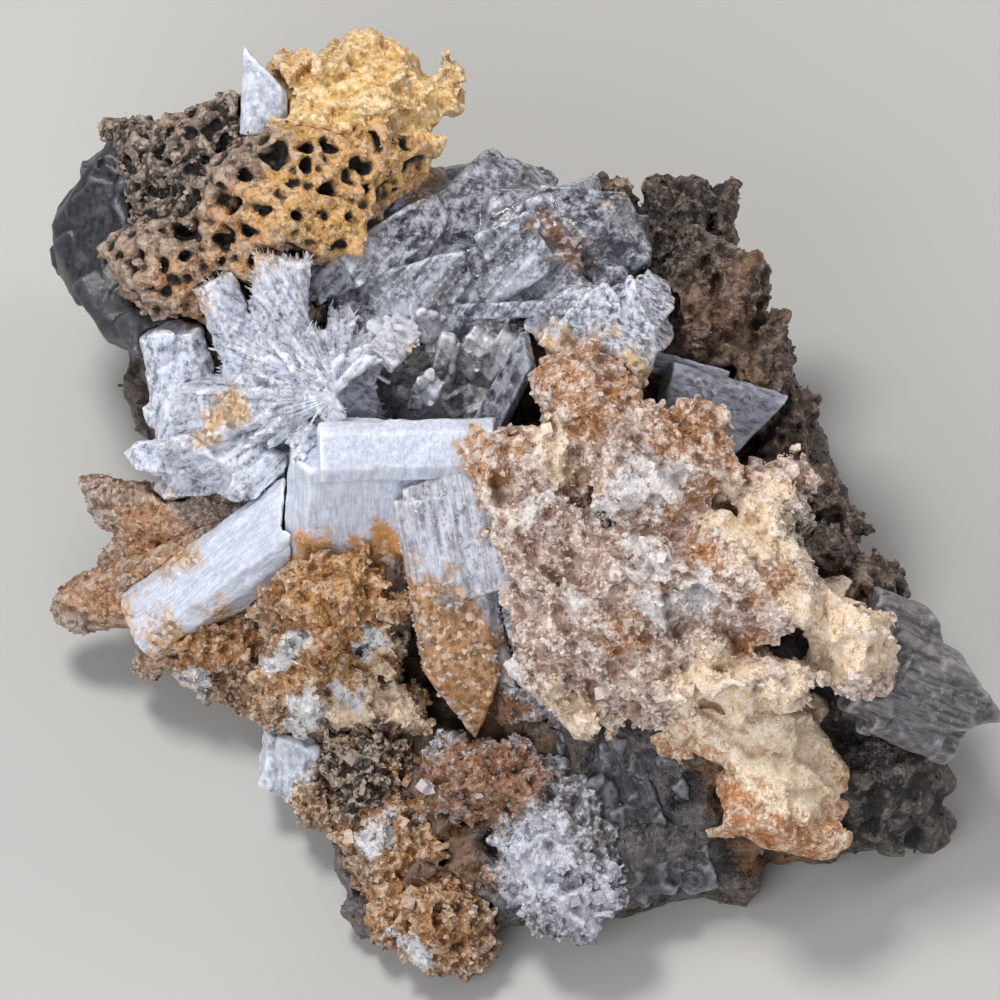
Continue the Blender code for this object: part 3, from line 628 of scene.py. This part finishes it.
def crustMaterial(name, palette, roughness=0.5, sparkle=0.3, glintSpecks=0.55):
    # druse and rock: stained, sugary, with painted shade in its hollow places and on some facets, and small
    # glints of painted highlight
    made, wires = newMaterial(name)
    place = placeInMm(wires)
    patchy = wires.noise(place, 0.4, 4, 0.7)
    ground = wires.mix(patchy.above(0.4, 0.6), palette["ground"], palette["second"])
    colour = stainedColour(wires, place, palette, ground)
    tint = attribute(wires, "tint")
    hollow = attribute(wires, "hollow")
    smallHeight, small = sugar(wires, place, grainSizes["druse"])
    largeHeight, large = sugar(wires, place, grainSizes["largeDruse"])
    mottle = wires.noise(place, 1.9, 4, 0.75)
    pure = attribute(wires, "white").maths("MAXIMUM", attribute(wires, "cream")).above(0.3, 0.8)
    # painted shade: some small facets and mottled patches mixed toward the deep colour, as if turned from
    # the light
    facetShade = (1 - small.above(0.05, 0.5)) * 0.4 + (1 - mottle.above(0.36, 0.52)) * 0.4
    colour = wires.mix(facetShade * (1 - pure * 0.7), colour, palette["deep"])
    # painted highlights: glints on bright facets, flecks and paler crystals, and lighter ridges; none in
    # hollow places, fewer on rust
    glintSpeckled = mottle.above(glintSpecks, glintSpecks + 0.1) * 0.6
    glow = small.above(0.5, 1.0) * 0.45 + large.above(0.6, 1.0) * 0.3 + glintSpeckled
    glow = glow * (1 - hollow.above(-0.05, 0.2)) + (0 - hollow).above(0.05, 0.4) * 0.25
    glow = glow * (1 - attribute(wires, "rust").above(0.2, 0.9) * palette.get("rustDulls", 0.2))
    glintingCrystals = tint.above(1 - sparkle, 1 - sparkle * 0.6) * 0.6
    colour = wires.mix(glow.maths("MAXIMUM", glintingCrystals).maths("MINIMUM", 0.85), colour, palette["glint"])
    # painted shade: hollow places mixed toward the deep colour
    sunkenShade = hollow.above(*palette.get("hollowShadeFrom", (0.0, 0.4))) * palette.get("hollows", 0.8)
    colour = wires.mix(sunkenShade, colour, palette["deep"])
    rough = mottle * 0.4 + (roughness - 0.15) - glow * 0.25
    bump = wires.node(
        "ShaderNodeBump", None,
        {
            "Strength": 0.9, "Distance": bumpDepths["druse"] * mm,
            "Height": smallHeight + largeHeight * 1.6 + wires.noise(place, 4.5, 1, 0.7) * 0.8,
        },
    )
    shader = wires.node(
        "ShaderNodeBsdfPrincipled", None, {"Base Color": colour, "Roughness": rough, "Normal": bump},
    )
    wires.node("ShaderNodeOutputMaterial", None, {"Surface": shader}, output=None)
    return made


def crystalMaterial(
    name, palette, milk=(0.35, 0.65), roughness=0.25, grain=(0, 0.3, 1), fineness=1.3, glintSpecks=0.5,
):
    # clear crystal, clouded by milky zones along its grain, with stains on its skin, painted highlights on
    # its ridges and in flecks, and painted shade in its hollow places
    made, wires = newMaterial(name)
    place = placeInMm(wires)
    mottle = wires.noise(place, 1.5, 4, 0.78)
    streak = wires.noise(fibres(wires, place, grain), fineness, 3, 0.65)
    mottled = palette.get("mottled", 0.45)
    tone = mottle * mottled + streak * (1 - mottled)
    hollow = attribute(wires, "hollow")
    smallHeight, small = sugar(wires, place, grainSizes["crystalSkin"])
    colour = wires.mix(tone.above(0.38, 0.62), palette["shade"], palette["bright"])
    # painted highlight: ridges mixed toward the glint colour
    colour = wires.mix((0 - hollow).above(0.03, 0.25) * 0.7, colour, palette["glint"])
    # painted shade: hollow places mixed toward the shade colour
    colour = wires.mix(hollow.above(0.03, 0.4) * palette.get("hollows", 0.6), colour, palette["shade"])
    colour = stainedColour(wires, place, palette, colour)
    stained = attribute(wires, "rust").maths("MAXIMUM", attribute(wires, "cream")).above(0.2, 0.6)
    # painted shade: some small grains of stained skin made darker
    grainShade = (1 - small.above(0.05, 0.6)) * stained * 0.5
    colour = wires.mix(grainShade, colour, paintedShadeColour)
    # painted highlight: glint flecks, more on stained grains
    glintSpeck = mottle.above(0.55, 0.64) * glintSpecks + small.above(0.7, 1.0) * stained * 0.5
    colour = wires.mix(glintSpeck, colour, palette["glint"])
    whitened = attribute(wires, "white").above(0.2, 0.6)
    cloudy = (tone.above(*milk) + glintSpeck).maths("MAXIMUM", stained).maths("MAXIMUM", whitened)
    rough = mottle * 0.3 + (roughness - 0.15)
    bump = wires.node(
        "ShaderNodeBump", None,
        {
            "Strength": 0.6, "Distance": bumpDepths["crystal"] * mm,
            "Height": tone * 1.3 + smallHeight * stained * 1.5,
        },
    )
    milky = wires.node(
        "ShaderNodeBsdfPrincipled", None,
        {
            "Base Color": colour, "Roughness": rough + 0.1, "Normal": bump, "IOR": 1.55,
            "Subsurface Weight": 0.45, "Subsurface Radius": (1.2, 1.25, 1.4), "Subsurface Scale": mm,
        },
    )
    clear = wires.node(
        "ShaderNodeBsdfPrincipled", None,
        {
            "Base Color": palette["clear"], "Roughness": rough * 0.5, "Normal": bump, "IOR": 1.55,
            "Transmission Weight": 1.0,
        },
    )
    shader = wires.node("ShaderNodeMixShader", None, {0: cloudy, 1: clear, 2: milky})
    wires.node("ShaderNodeOutputMaterial", None, {"Surface": shader}, output=None)
    return made


creamColour = srgb(228, 204, 174)
whiteColour = srgb(222, 224, 230)
# the darkest spot colour, partly darker rock and partly painted shade
darkAndShadeColour = srgb(36, 30, 28)
# colour of painted shade, on grains and in hollow places
paintedShadeColour = srgb(58, 40, 29)

frostPalette = {
    "bright": srgb(212, 215, 228), "shade": srgb(162, 167, 184), "rust": srgb(212, 176, 134),
    "cream": creamColour, "glint": srgb(240, 243, 249), "clear": srgb(228, 232, 244),
    "stainRim": (0.1, 1.1),
}
blockPalette = {
    "bright": srgb(216, 220, 234), "shade": srgb(186, 192, 210), "rust": srgb(202, 160, 116),
    "ochre": srgb(198, 142, 80), "cream": srgb(232, 214, 192), "glint": srgb(240, 243, 250),
    "clear": srgb(228, 232, 244), "hollows": 0.3, "mottled": 0.25, "stainRim": (0.15, 1.0),
}
slabPalette = {
    "bright": srgb(150, 152, 164), "shade": srgb(108, 110, 122),
    "glint": srgb(190, 194, 206), "clear": srgb(182, 186, 200), "mottled": 0.3,
}
goldenPalette = {
    "bright": srgb(200, 203, 217), "shade": srgb(146, 147, 158), "rust": srgb(176, 130, 86),
    "cream": creamColour, "glint": srgb(232, 222, 210), "clear": srgb(222, 224, 234),
    "mottled": 0.3, "stainRim": (0.1, 0.95),
}
greyPalette = {
    "bright": srgb(122, 119, 122), "shade": srgb(72, 69, 72), "rust": srgb(104, 84, 72),
    "glint": srgb(166, 163, 166), "clear": srgb(150, 150, 158), "mottled": 0.25,
}
smokyPalette = {
    "bright": srgb(58, 58, 64), "shade": srgb(30, 30, 35), "glint": srgb(84, 86, 95),
    "clear": srgb(80, 82, 90), "mottled": 0.5,
}
prismPalette = {
    "bright": srgb(104, 103, 108), "shade": srgb(56, 54, 58), "rust": srgb(98, 76, 62),
    "glint": srgb(158, 160, 170), "clear": srgb(140, 142, 152), "mottled": 0.3,
}
clearPalette = {
    "bright": srgb(172, 175, 188), "shade": srgb(108, 109, 119), "rust": srgb(136, 98, 68),
    "cream": creamColour, "white": srgb(206, 210, 224), "darkAndShade": srgb(66, 63, 68),
    "glint": srgb(226, 230, 240), "clear": srgb(206, 212, 226), "stainRim": (0.2, 0.9),
}
hollowPalette = {
    "bright": srgb(196, 197, 204), "shade": srgb(134, 131, 132), "rust": srgb(150, 116, 88),
    "cream": creamColour, "white": srgb(214, 218, 230), "glint": srgb(240, 243, 250),
    "clear": srgb(222, 226, 236), "hollows": 0.4, "stainRim": (0.2, 0.9),
}
# in these crust palettes, deep is the colour of painted shade and glint the colour of painted highlights
drusePalette = {
    "ground": srgb(196, 168, 152), "second": srgb(164, 130, 110), "rust": srgb(180, 122, 72),
    "cream": srgb(240, 212, 178), "white": srgb(214, 209, 210), "darkAndShade": darkAndShadeColour,
    "deep": srgb(86, 60, 48), "glint": srgb(242, 232, 225), "hollows": 0.5,
}
frontPalette = {
    "ground": srgb(160, 119, 84), "second": srgb(120, 84, 58), "rust": srgb(174, 120, 66),
    "ochre": srgb(196, 142, 78), "cream": srgb(230, 204, 176), "white": whiteColour, "darkAndShade": darkAndShadeColour,
    "deep": paintedShadeColour, "glint": srgb(226, 206, 186),
}
lowerPalette = {
    "ground": srgb(158, 155, 162), "second": srgb(120, 115, 118), "rust": srgb(154, 106, 68),
    "cream": srgb(222, 196, 166), "white": srgb(196, 198, 210), "darkAndShade": darkAndShadeColour,
    "deep": srgb(52, 44, 41), "glint": srgb(222, 224, 232), "rustDulls": 0.75,
}
creamPalette = {
    "ground": srgb(238, 208, 174), "second": srgb(208, 154, 102), "rust": srgb(184, 120, 64),
    "cream": srgb(242, 218, 188), "white": whiteColour, "deep": srgb(140, 90, 56),
    "glint": srgb(250, 240, 226), "hollows": 0.35,
}
platePalette = {
    "ground": srgb(85, 66, 54), "second": srgb(51, 39, 34), "rust": srgb(124, 90, 64),
    "cream": srgb(206, 182, 160), "white": srgb(190, 186, 186), "darkAndShade": srgb(40, 33, 31),
    "deep": srgb(24, 18, 16), "glint": srgb(152, 133, 120),
}
# brown rock of darker tone, kept so partly as painted shade for where it shows below overhangs
rockPalette = {
    "ground": srgb(74, 60, 51), "second": srgb(48, 39, 34), "rust": srgb(124, 86, 54),
    "grey": srgb(88, 87, 93), "white": srgb(140, 142, 154), "darkAndShade": srgb(30, 27, 27),
    "deep": srgb(20, 16, 15), "glint": srgb(128, 118, 111),
}
gossanPalette = {
    "ground": srgb(164, 138, 120), "second": srgb(126, 96, 76), "rust": srgb(192, 138, 88),
    "ochre": srgb(220, 168, 98), "cream": srgb(226, 196, 168), "darkAndShade": srgb(42, 34, 31),
    "deep": srgb(18, 13, 11), "glint": srgb(206, 186, 168), "hollows": 1.0, "hollowShadeFrom": (-0.06, 0.22),
}
knobPalette = {
    "ground": srgb(228, 190, 134), "second": srgb(206, 158, 104), "ochre": srgb(236, 194, 124),
    "cream": srgb(232, 208, 184), "rust": srgb(168, 128, 106), "deep": srgb(140, 98, 58),
    "glint": srgb(250, 234, 204), "hollows": 0.55,
}
stainedPalette = {
    "ground": srgb(146, 114, 90), "second": srgb(120, 102, 94), "rust": srgb(168, 118, 76),
    "cream": srgb(214, 196, 180), "deep": srgb(56, 40, 32), "glint": srgb(216, 202, 190),
}


# every piece, from the solid that it replaces

gossanBox = ((-60, 13, 15), (1, 60, 60))
belowGossanBox = ((-61, 14, 16), (0, 61, 61))
knobBox = ((-24.5, 30.5, 28), (1, 60, 60))
besideKnobBox = ((-23.7, 31.3, 28.8), (2, 61, 61))
underPrismBox = ((9, -30, 1.0), (15, -22, 4.0))


def sugarCrust(perSquare, small=0.25, large=0.9, kind="grains"):
    # an even crust of small crystals, half sunk
    return {"kind": kind, "perSquare": perSquare, "size": (small, large), "lean": 0.7, "sink": 0.3}


flakes = {"kind": "blades", "perSquare": 0.2, "size": (0.8, 2.2), "lean": 0.9, "sink": 0.35, "patch": 0.15}

pieces = {
    "blockCrystal": {
        "node": "block_crystal", "slot": "frosted_crystal", "voxel": 0.25,
        "relief": {"lines": (0.06, 0.4, (0.05, 0.5, 1)), "facets": (0.15, 3.0), "rough": (0.25, 2.4)},
        "material": crystalMaterial(
            "frostedBlock", blockPalette, (0.1, 0.38), 0.32, (0.05, 0.5, 1), 3.2, 0.35,
        ),
    },
    "goldBlade": {
        "node": "gold_blade_crystal", "slot": "stained_crystal", "voxel": 0.22,
        "crystals": [((-6.0, 13.0), (-2.0, 1.0), 8.0, 2.6, (-1.6, 0.4), 0.75, 8)],
        "relief": {"lines": (0.08, 0.7, (0.15, -0.75, -0.6)), "rough": (0.45, 1.8)},
        "crust": [sugarCrust(2.0, 0.2, 0.7)],
        "material": crystalMaterial(
            "goldenBlade", goldenPalette, (0.2, 0.45), 0.3, (0.15, -0.75, -0.6), 2.2,
        ),
    },
    "leftBlade": {
        "node": "left_blade_crystal", "slot": "frosted_crystal", "voxel": 0.22,
        "relief": {"lines": (0.06, 0.7, (0.75, 0.3, 0.7)), "rough": (0.45, 2.0)},
        "material": crystalMaterial(
            "frostedBlade", blockPalette, (0.08, 0.38), 0.28, (0.75, 0.3, 0.7), 4.0, 0.45,
        ),
    },
    "leaningBlade": {
        "node": "leaning_blade_crystal", "slot": "frosted_crystal", "voxel": 0.2,
        "relief": {"rough": (0.1, 0.8)},
        "material": crystalMaterial("frostedPlate", slabPalette, (0.3, 0.6), 0.2),
    },
    "leftStubs": {
        "node": "left_stub_crystals", "slot": "frosted_crystal", "voxel": 0.22,
        "relief": {"facets": (0.3, 2.2), "rough": (0.3, 1.0)},
        "material": crystalMaterial("frostedStubs", frostPalette, (0.28, 0.52), 0.25),
    },
    "whiteTop": {
        "node": "white_top_crystal", "slot": "frosted_crystal", "voxel": 0.22,
        "relief": {"lines": (0.15, 0.6, (0, 0.6, 0.6)), "rough": (0.25, 1.2)},
        "material": crystalMaterial("whiteBlade", frostPalette, (0.2, 0.45), 0.3),
    },
    "blueSlab": {
        "node": "blue_slab_crystal", "slot": "grey_crystal", "voxel": 0.22,
        "relief": {"rough": (0.35, 2.0)},
        "material": crystalMaterial("blueSlab", slabPalette, (0.2, 0.5), 0.28, (0.9, -0.2, 0), 2.0, 0.3),
    },
    "greyTip": {
        "node": "grey_tip_crystal", "slot": "grey_crystal", "voxel": 0.25,
        "relief": {"lines": (0.3, 0.5, (0.85, -0.15, -0.4)), "rough": (0.25, 1.4), "facets": (0.3, 3.0)},
        "material": crystalMaterial("silkyGrey", greyPalette, (0.1, 0.3), 0.32, (0.85, -0.15, -0.4), 2.0),
    },
    "spray": {
        "node": "spray_crystals", "slot": "frosted_crystal", "voxel": 0.22,
        "spread": {
            "centre": (-17.5, 20.5), "turns": (40, 255), "count": 70, "reach": (3.5, 9.5),
            "width": (0.45, 1.1), "seed": 5,
        },
        "relief": {"fan": (0.4, 0.5, (-16, 21)), "facets": (0.2, 1.6), "rough": (0.3, 0.8)},
        "crust": [
            {
                "kind": "needles", "perSquare": 3.2, "size": (0.5, 1.7), "lean": 0.45, "sink": 0.35,
                "fan": (-16, 21, 26), "fanPull": 1.6,
            },
        ],
        "material": crystalMaterial("whiteSpray", frostPalette, (0.3, 0.5), 0.28, (-16, 21), 2.2),
    },
    "rightClear": {
        "node": "right_clear_crystals", "slot": "clear_crystal", "voxel": 0.22,
        "crystals": [
            ((7.0, 26.5), (11.5, 31.0), 4.2, 1.3, (0.5, 1.5)),
            ((11.5, 25.0), (16.2, 32.5), 4.6, 1.3, (0.5, 1.5)),
            ((4.8, 25.5), (6.6, 29.0), 2.4, 1.2, (0.5, 1.5)),
            ((13.0, 24.0), (17.0, 28.0), 2.6, 1.2, (0.3, 1.2)),
        ],
        "relief": {"facets": (0.25, 1.6), "rough": (0.25, 0.9)},
        "material": crystalMaterial("paleGlassy", frostPalette, (0.34, 0.56), 0.22),
    },
    "backClear": {
        "node": "back_clear_crystals", "slot": "clear_crystal", "voxel": 0.26,
        "crystals": [
            ((-3.0, 30.0), (8.5, 33.0), 5.0, 1.2, (0.0, 1.5)),
            ((-4.5, 29.2), (8.8, 29.8), 1.6, 1.4, (1.0, 2.0)),
            ((-15.5, 33.5), (-5.5, 39.5), 4.5, 2.0, (0.0, 1.2)),
            ((-6.0, 37.0), (1.0, 44.0), 6.0, 3.0, (-1.0, 0.2)),
            ((3.5, 39.5), (9.8, 42.0), 2.6, 2.0, (0.0, 1.0)),
            ((-13.0, 30.0), (-3.0, 33.5), 5.0, 1.5, (0.0, 0.6)),
            ((-2.0, 31.0), (5.0, 35.5), 4.0, 1.0, (0.5, 1.8)),
            ((-9.0, 36.0), (-6.5, 43.5), 4.5, 2.0, (0.0, 0.6)),
            ((-11.0, 34.0), (-3.0, 36.5), 3.0, 1.2, (0.5, 1.6)),
            ((-2.0, 35.5), (4.0, 38.5), 3.0, 1.2, (0.4, 1.2)),
        ],
        "relief": {"facets": (0.12, 2.2), "rough": (0.18, 1.3)},
        "crust": [{"kind": "blades", "perSquare": 0.1, "size": (0.6, 1.6), "lean": 0.9, "sink": 0.3}],
        "material": crystalMaterial(
            "greyGlassy", clearPalette, (0.36, 0.6), 0.2, (0.6, 0.5, 0.5), 0.9, 0.25,
        ),
    },
    "hollowCrust": {
        "node": "hollow_crust", "slot": "clear_crystal", "voxel": 0.2,
        "crystals": [
            ((-3.5, 24.0), (-1.0, 27.5), 3.0, 3.0, (0.0, 1.5), 0.9),
            ((-1.5, 23.5), (1.5, 27.0), 2.6, 2.4, (0.0, 2.0), 0.9),
            ((-8.6, 20.0), (-6.2, 22.6), 2.6, 2.0, (0.5, 3.0), 0.8),
            ((-12.0, 24.5), (-9.0, 28.5), 3.4, 1.4, (0.0, 1.5)),
            ((-6.0, 22.0), (-5.0, 27.0), 2.2, 1.4, (0.0, 1.5)),
            ((-14.0, 22.0), (-11.5, 27.5), 2.8, 1.4, (0.0, 1.5)),
            ((-10.0, 22.5), (-11.0, 26.0), 1.8, 1.2, (0.0, 1.6)),
            ((-5.5, 25.5), (-8.0, 29.5), 2.6, 1.2, (0.0, 1.5)),
        ],
        "relief": {"facets": (0.3, 1.8), "rough": (0.15, 0.8)},
        "crust": [{"kind": "blades", "perSquare": 0.4, "size": (0.8, 2.6), "lean": 0.9, "sink": 0.25}],
        "material": crystalMaterial(
            "clearHollow", hollowPalette, (0.22, 0.5), 0.18, (0.3, 0.5, 0.8), 1.0, 0.4,
        ),
    },
    "brownBlades": {
        "node": "brown_left_blades", "slot": "stained_crystal", "voxel": 0.25,
        "relief": {"facets": (0.3, 2.4), "lines": (0.35, 1.0, (0.95, 0.2, 0.4)), "rough": (0.4, 1.1)},
        "crust": [sugarCrust(2.5, 0.2, 0.7)],
        "material": crustMaterial("stainedBlades", stainedPalette, 0.45),
    },
    "farLeft": {
        "node": "far_left_crystal", "slot": "grey_crystal", "voxel": 0.28,
        "relief": {"facets": (0.5, 5.0), "rough": (0.3, 2.0)},
        "material": crystalMaterial("smokyGrey", smokyPalette, (0.2, 0.5), 0.3, (0.1, 0.9, 0.3), 1.3, 0.2),
    },
    "greySpur": {
        "node": "grey_spur", "slot": "grey_crystal", "voxel": 0.22,
        "relief": {"facets": (0.6, 1.8), "rough": (0.3, 0.9)},
        "crust": [sugarCrust(2.5, 0.25, 0.8)],
        "material": crustMaterial("greySpurCrust", lowerPalette, 0.4),
    },
    "frontDruse": {
        "node": "front_druse", "slot": "druse", "voxel": 0.25,
        "relief": {"facets": (1.0, 2.6), "chips": (0.6, 1.1), "rough": (0.4, 0.9)},
        "crust": [sugarCrust(3.3), flakes],
        "material": crustMaterial("frontCrust", {
            **frontPalette, "ground": srgb(174, 130, 92), "second": srgb(136, 98, 66),
            "rust": srgb(188, 132, 74), "hollows": 0.6,
        }),
    },
    "leftFootDruse": {
        "node": "left_foot_druse", "slot": "druse", "voxel": 0.25,
        "relief": {"facets": (1.0, 2.6), "chips": (0.6, 1.1), "rough": (0.4, 0.9)},
        "crust": [sugarCrust(3.3), flakes],
        "material": crustMaterial("footCrust", frontPalette),
    },
    "rightDruse": {
        "node": "right_druse", "slot": "druse", "voxel": 0.32,
        "relief": {
            "lumps": (0.8, 7), "ledges": (1.4, 3.6, (0.6, -0.5, -0.3)), "chips": (0.5, 1.6),
            "rough": (0.4, 1.0),
        },
        "crust": [sugarCrust(1.1, 0.3, 1.0), flakes],
        "material": crustMaterial("rightCrust", drusePalette, 0.4, 0.4, 0.52),
    },
    "creamLobe": {
        "node": "cream_lobe", "slot": "cream_druse", "voxel": 0.25,
        "relief": {"ledges": (1.7, 3.2, (0.7, -0.4, -0.5)), "chips": (0.4, 1.8), "rough": (0.3, 1.3)},
        "crust": [sugarCrust(0.4, 0.2, 0.6)],
        "material": crustMaterial("creamCrust", creamPalette, 0.34, 0.25, 0.55),
    },
    "backPlates": {
        "node": "back_plates", "slot": "dark_plates", "voxel": 0.28,
        "relief": {"ledges": (1.0, 2.2, (0.2, 0.8, 0.6)), "chips": (0.6, 1.0), "rough": (0.4, 0.9)},
        "crust": [sugarCrust(1.8, 0.2, 0.8)],
        "material": crustMaterial("backPlateCrust", platePalette, 0.55, 0.12, 0.6),
    },
    "rightPlates": {
        "node": "right_plates", "slot": "dark_plates", "voxel": 0.28,
        "relief": {"ledges": (1.2, 2.2, (0.3, 0.8, 0.6)), "chips": (0.6, 1.0), "rough": (0.4, 0.9)},
        "crust": [sugarCrust(2.0, 0.2, 0.8)],
        "material": crustMaterial("rightPlateCrust", platePalette, 0.52, 0.16, 0.56),
    },
    "rightEdge": {
        "node": "right_edge_druse", "slot": "druse", "voxel": 0.28,
        "relief": {"ledges": (1.2, 2.2, (0.6, 0.5, 0.5)), "chips": (0.6, 1.0), "rough": (0.4, 0.9)},
        "crust": [sugarCrust(2.0, 0.2, 0.8)],
        "material": crustMaterial("rightEdgeCrust", platePalette, 0.5, 0.16, 0.57),
    },
    "lowerDruse": {
        "node": "lower_druse", "slot": "druse", "voxel": 0.26,
        "relief": {"facets": (1.1, 2.6), "chips": (0.7, 1.2), "rough": (0.4, 1.0)},
        "crust": [sugarCrust(3.2, 0.25, 0.9), flakes],
        "material": crustMaterial("lowerCrust", lowerPalette, 0.42, 0.3, 0.53),
    },
    "frontTip": {
        "node": "front_tip", "slot": "druse", "voxel": 0.26,
        "relief": {"facets": (1.0, 2.4), "chips": (0.6, 1.0), "rough": (0.4, 0.9)},
        "crust": [sugarCrust(3.3), flakes],
        "material": crustMaterial("tipCrust", frontPalette),
    },
    "frontLeftFace": {
        "node": "front_left_face", "slot": "grey_crystal", "voxel": 0.22,
        "relief": {"facets": (0.4, 3.0), "rough": (0.3, 1.4)},
        "material": crystalMaterial("whiteFace", frostPalette, (0.25, 0.5), 0.2),
    },
    "gossan": {
        "node": "matrix_rock", "slot": "iron_rock", "voxel": 0.38, "keep": gossanBox, "cut": besideKnobBox,
        "relief": {"lumps": (0.8, 6), "pits": (3.4, 1.5), "grains": (1.3, 0.85), "rough": (0.5, 0.8)},
        "crust": [sugarCrust(0.7, 0.4, 1.1)],
        "material": crustMaterial("spongyRock", gossanPalette, 0.6, 0.25, 0.6),
    },
    "knob": {
        "node": "matrix_rock", "slot": "iron_rock", "voxel": 0.28, "keep": knobBox,
        "relief": {
            "lumps": (1.0, 6), "ledges": (0.8, 3.0, (0.2, 0.8, -0.5)), "chips": (0.4, 1.2),
            "rough": (0.5, 1.2),
        },
        "crust": [sugarCrust(1.2, 0.25, 0.8)],
        "material": crustMaterial("yellowKnob", knobPalette, 0.5, 0.3, 0.54),
    },
    "greyPrism": {
        "node": "matrix_rock", "slot": "iron_rock", "voxel": 0.25, "keep": underPrismBox,
        "crystals": [
            ((9.0, -12.0), (12.0, -30.0), 6.5, 4.0, (-2.2, 0.0), 0.6, 14),
            ((12.5, -12.5), (15.5, -28.5), 6.5, 4.0, (-2.4, 0.4), 0.6, -12),
            ((15.5, -15.0), (20.0, -28.5), 5.0, 3.0, (-2.0, 0.2), 0.6, 16),
            ((9.5, -17.0), (13.0, -28.5), 3.0, 2.5, (-0.8, 0.8), 0.5),
            ((13.5, -17.0), (17.0, -27.5), 3.0, 2.0, (-0.8, 0.6), 0.5),
        ],
        "relief": {"lines": (0.35, 0.5, (0.35, -0.8, -0.4)), "facets": (0.5, 2.4), "rough": (0.35, 1.2)},
        "crust": [sugarCrust(1.0, 0.2, 0.7)],
        "material": crystalMaterial(
            "silkyPrism", prismPalette, (0.1, 0.35), 0.3, (0.35, -0.8, -0.4), 2.0, 0.4,
        ),
    },
    "rock": {
        "node": "matrix_rock", "slot": "iron_rock", "voxel": 0.6, "cut": belowGossanBox,
        "relief": {"lumps": (0.8, 7), "facets": (1.0, 4.0), "chips": (0.6, 1.8), "rough": (0.5, 1.8)},
        "crust": [sugarCrust(0.35, 0.3, 1.0)],
        "material": crustMaterial("rockCrust", rockPalette, 0.5, 0.2, 0.6),
    },
}


def growPiece(name, recipe, seed):
    piece = copyOfNode(recipe["node"], name)
    for key, operation in (("keep", "INTERSECT"), ("cut", "DIFFERENCE")):
        if key in recipe:
            box = boxAround(name + "Box", *recipe[key])
            applied(piece, "BOOLEAN", operation=operation, object=box, solver="EXACT")
            bpy.data.objects.remove(box)
    grown = [layCrystal(name + "Crystal", *laid) for laid in recipe.get("crystals", [])]
    if "spread" in recipe:
        grown += fanOfCrystals(name + "Fan", recipe["spread"])
    if grown:
        pick(piece, *grown)
        bpy.ops.object.join()
    applied(piece, "REMESH", mode="VOXEL", voxel_size=recipe["voxel"] * mm)
    applied(piece, "NODES", node_group=reliefTree(name + "Relief", recipe["relief"], seed))
    applied(piece, "REMESH", mode="VOXEL", voxel_size=recipe["voxel"] * mm)
    applied(piece, "NODES", node_group=hollowTree(name + "Hollows", hollowRounds))
    for layer, crust in enumerate(recipe.get("crust", [])):
        tree = crustTree(name + "Crust" + str(layer), crust, seed * 10 + layer)
        applied(piece, "NODES", node_group=tree)
    paint(piece)
    piece.data.materials.clear()
    piece.data.materials.append(recipe["material"])
    pick(piece)
    bpy.ops.object.shade_smooth_by_angle(angle=sharpEdge)
    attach(piece, "root")
    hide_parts(recipe["node"])
    piece.data.calc_loop_triangles()
    print(name, len(piece.data.loop_triangles), "triangles")
    return piece


for seed, (name, recipe) in enumerate(pieces.items()):
    growPiece(name, recipe, seed + 1)

for mold in molds.values():
    for crystal in list(mold.objects):
        bpy.data.objects.remove(crystal)
    bpy.data.collections.remove(mold)
print("pieces grown")


# floor, light and camera

studio = {
    "floor": 1.2, "floorDrop": 0.0001, "floorColours": (srgb(184, 183, 180), srgb(190, 189, 186)),
    "lens": 800, "sensor": 36, "field": 0.1, "target": (0, 0.000577, 0.020),
    "aim": (0, 0, 0.02), "room": 0.28, "roomColour": (0.93, 0.95, 1.0, 1),
    # each light's place, size, watts and colour
    "lights": {
        "keyLight": ((-0.16, 0.13, 0.48), 0.12, 1.75, (1.0, 0.98, 0.96)),
        "fillLight": ((-0.25, -0.45, 0.35), 0.5, 2.35, (0.96, 0.98, 1.0)),
        "rimLight": ((0.4, 0.1, 0.25), 0.2, 0.65, (1.0, 0.97, 0.94)),
    },
}


def floorMaterial():
    made, wires = newMaterial("studioFloor")
    place = placeInMm(wires)
    tone = wires.mix(wires.noise(place, 0.02, 2, 0.5), *studio["floorColours"])
    shader = wires.node("ShaderNodeBsdfPrincipled", None, {"Base Color": tone, "Roughness": 0.8})
    wires.node("ShaderNodeOutputMaterial", None, {"Surface": shader}, output=None)
    return made


bpy.ops.object.select_all(action="DESELECT")
bpy.ops.mesh.primitive_plane_add(size=studio["floor"], location=(0, 0, -studio["floorDrop"]))
floor = bpy.context.active_object
floor.name = "studioFloorSheet"
floor.data.materials.append(floorMaterial())


def softLight(name, place, size, watts, colour):
    bpy.ops.object.light_add(type="AREA", location=place)
    light = bpy.context.active_object
    light.name = name
    light.data.size = size
    light.data.energy = watts
    light.data.color = colour
    light.rotation_euler = (Vector(studio["aim"]) - Vector(place)).to_track_quat("-Z", "Y").to_euler()


for lightName, light in studio["lights"].items():
    softLight(lightName, *light)

world = bpy.data.worlds.new("studioRoom")
bpy.context.scene.world = world
world.use_nodes = True
world.node_tree.nodes["Background"].inputs["Color"].default_value = studio["roomColour"]
world.node_tree.nodes["Background"].inputs["Strength"].default_value = studio["room"]

cameraData = bpy.data.cameras.new("photoCamera")
cameraData.lens = studio["lens"]
cameraData.sensor_width = studio["sensor"]
distance = studio["field"] * studio["lens"] / studio["sensor"]
camera = bpy.data.objects.new("photoCamera", cameraData)
bpy.context.scene.collection.objects.link(camera)
camera.location = Vector(studio["target"]) + towardsViewer * distance
camera.rotation_euler = towardsViewer.to_track_quat("Z", "Y").to_euler()
cameraData.clip_end = distance * 3
bpy.context.scene.camera = camera
bpy.context.scene.view_settings.view_transform = "Standard"
print("studio ready")
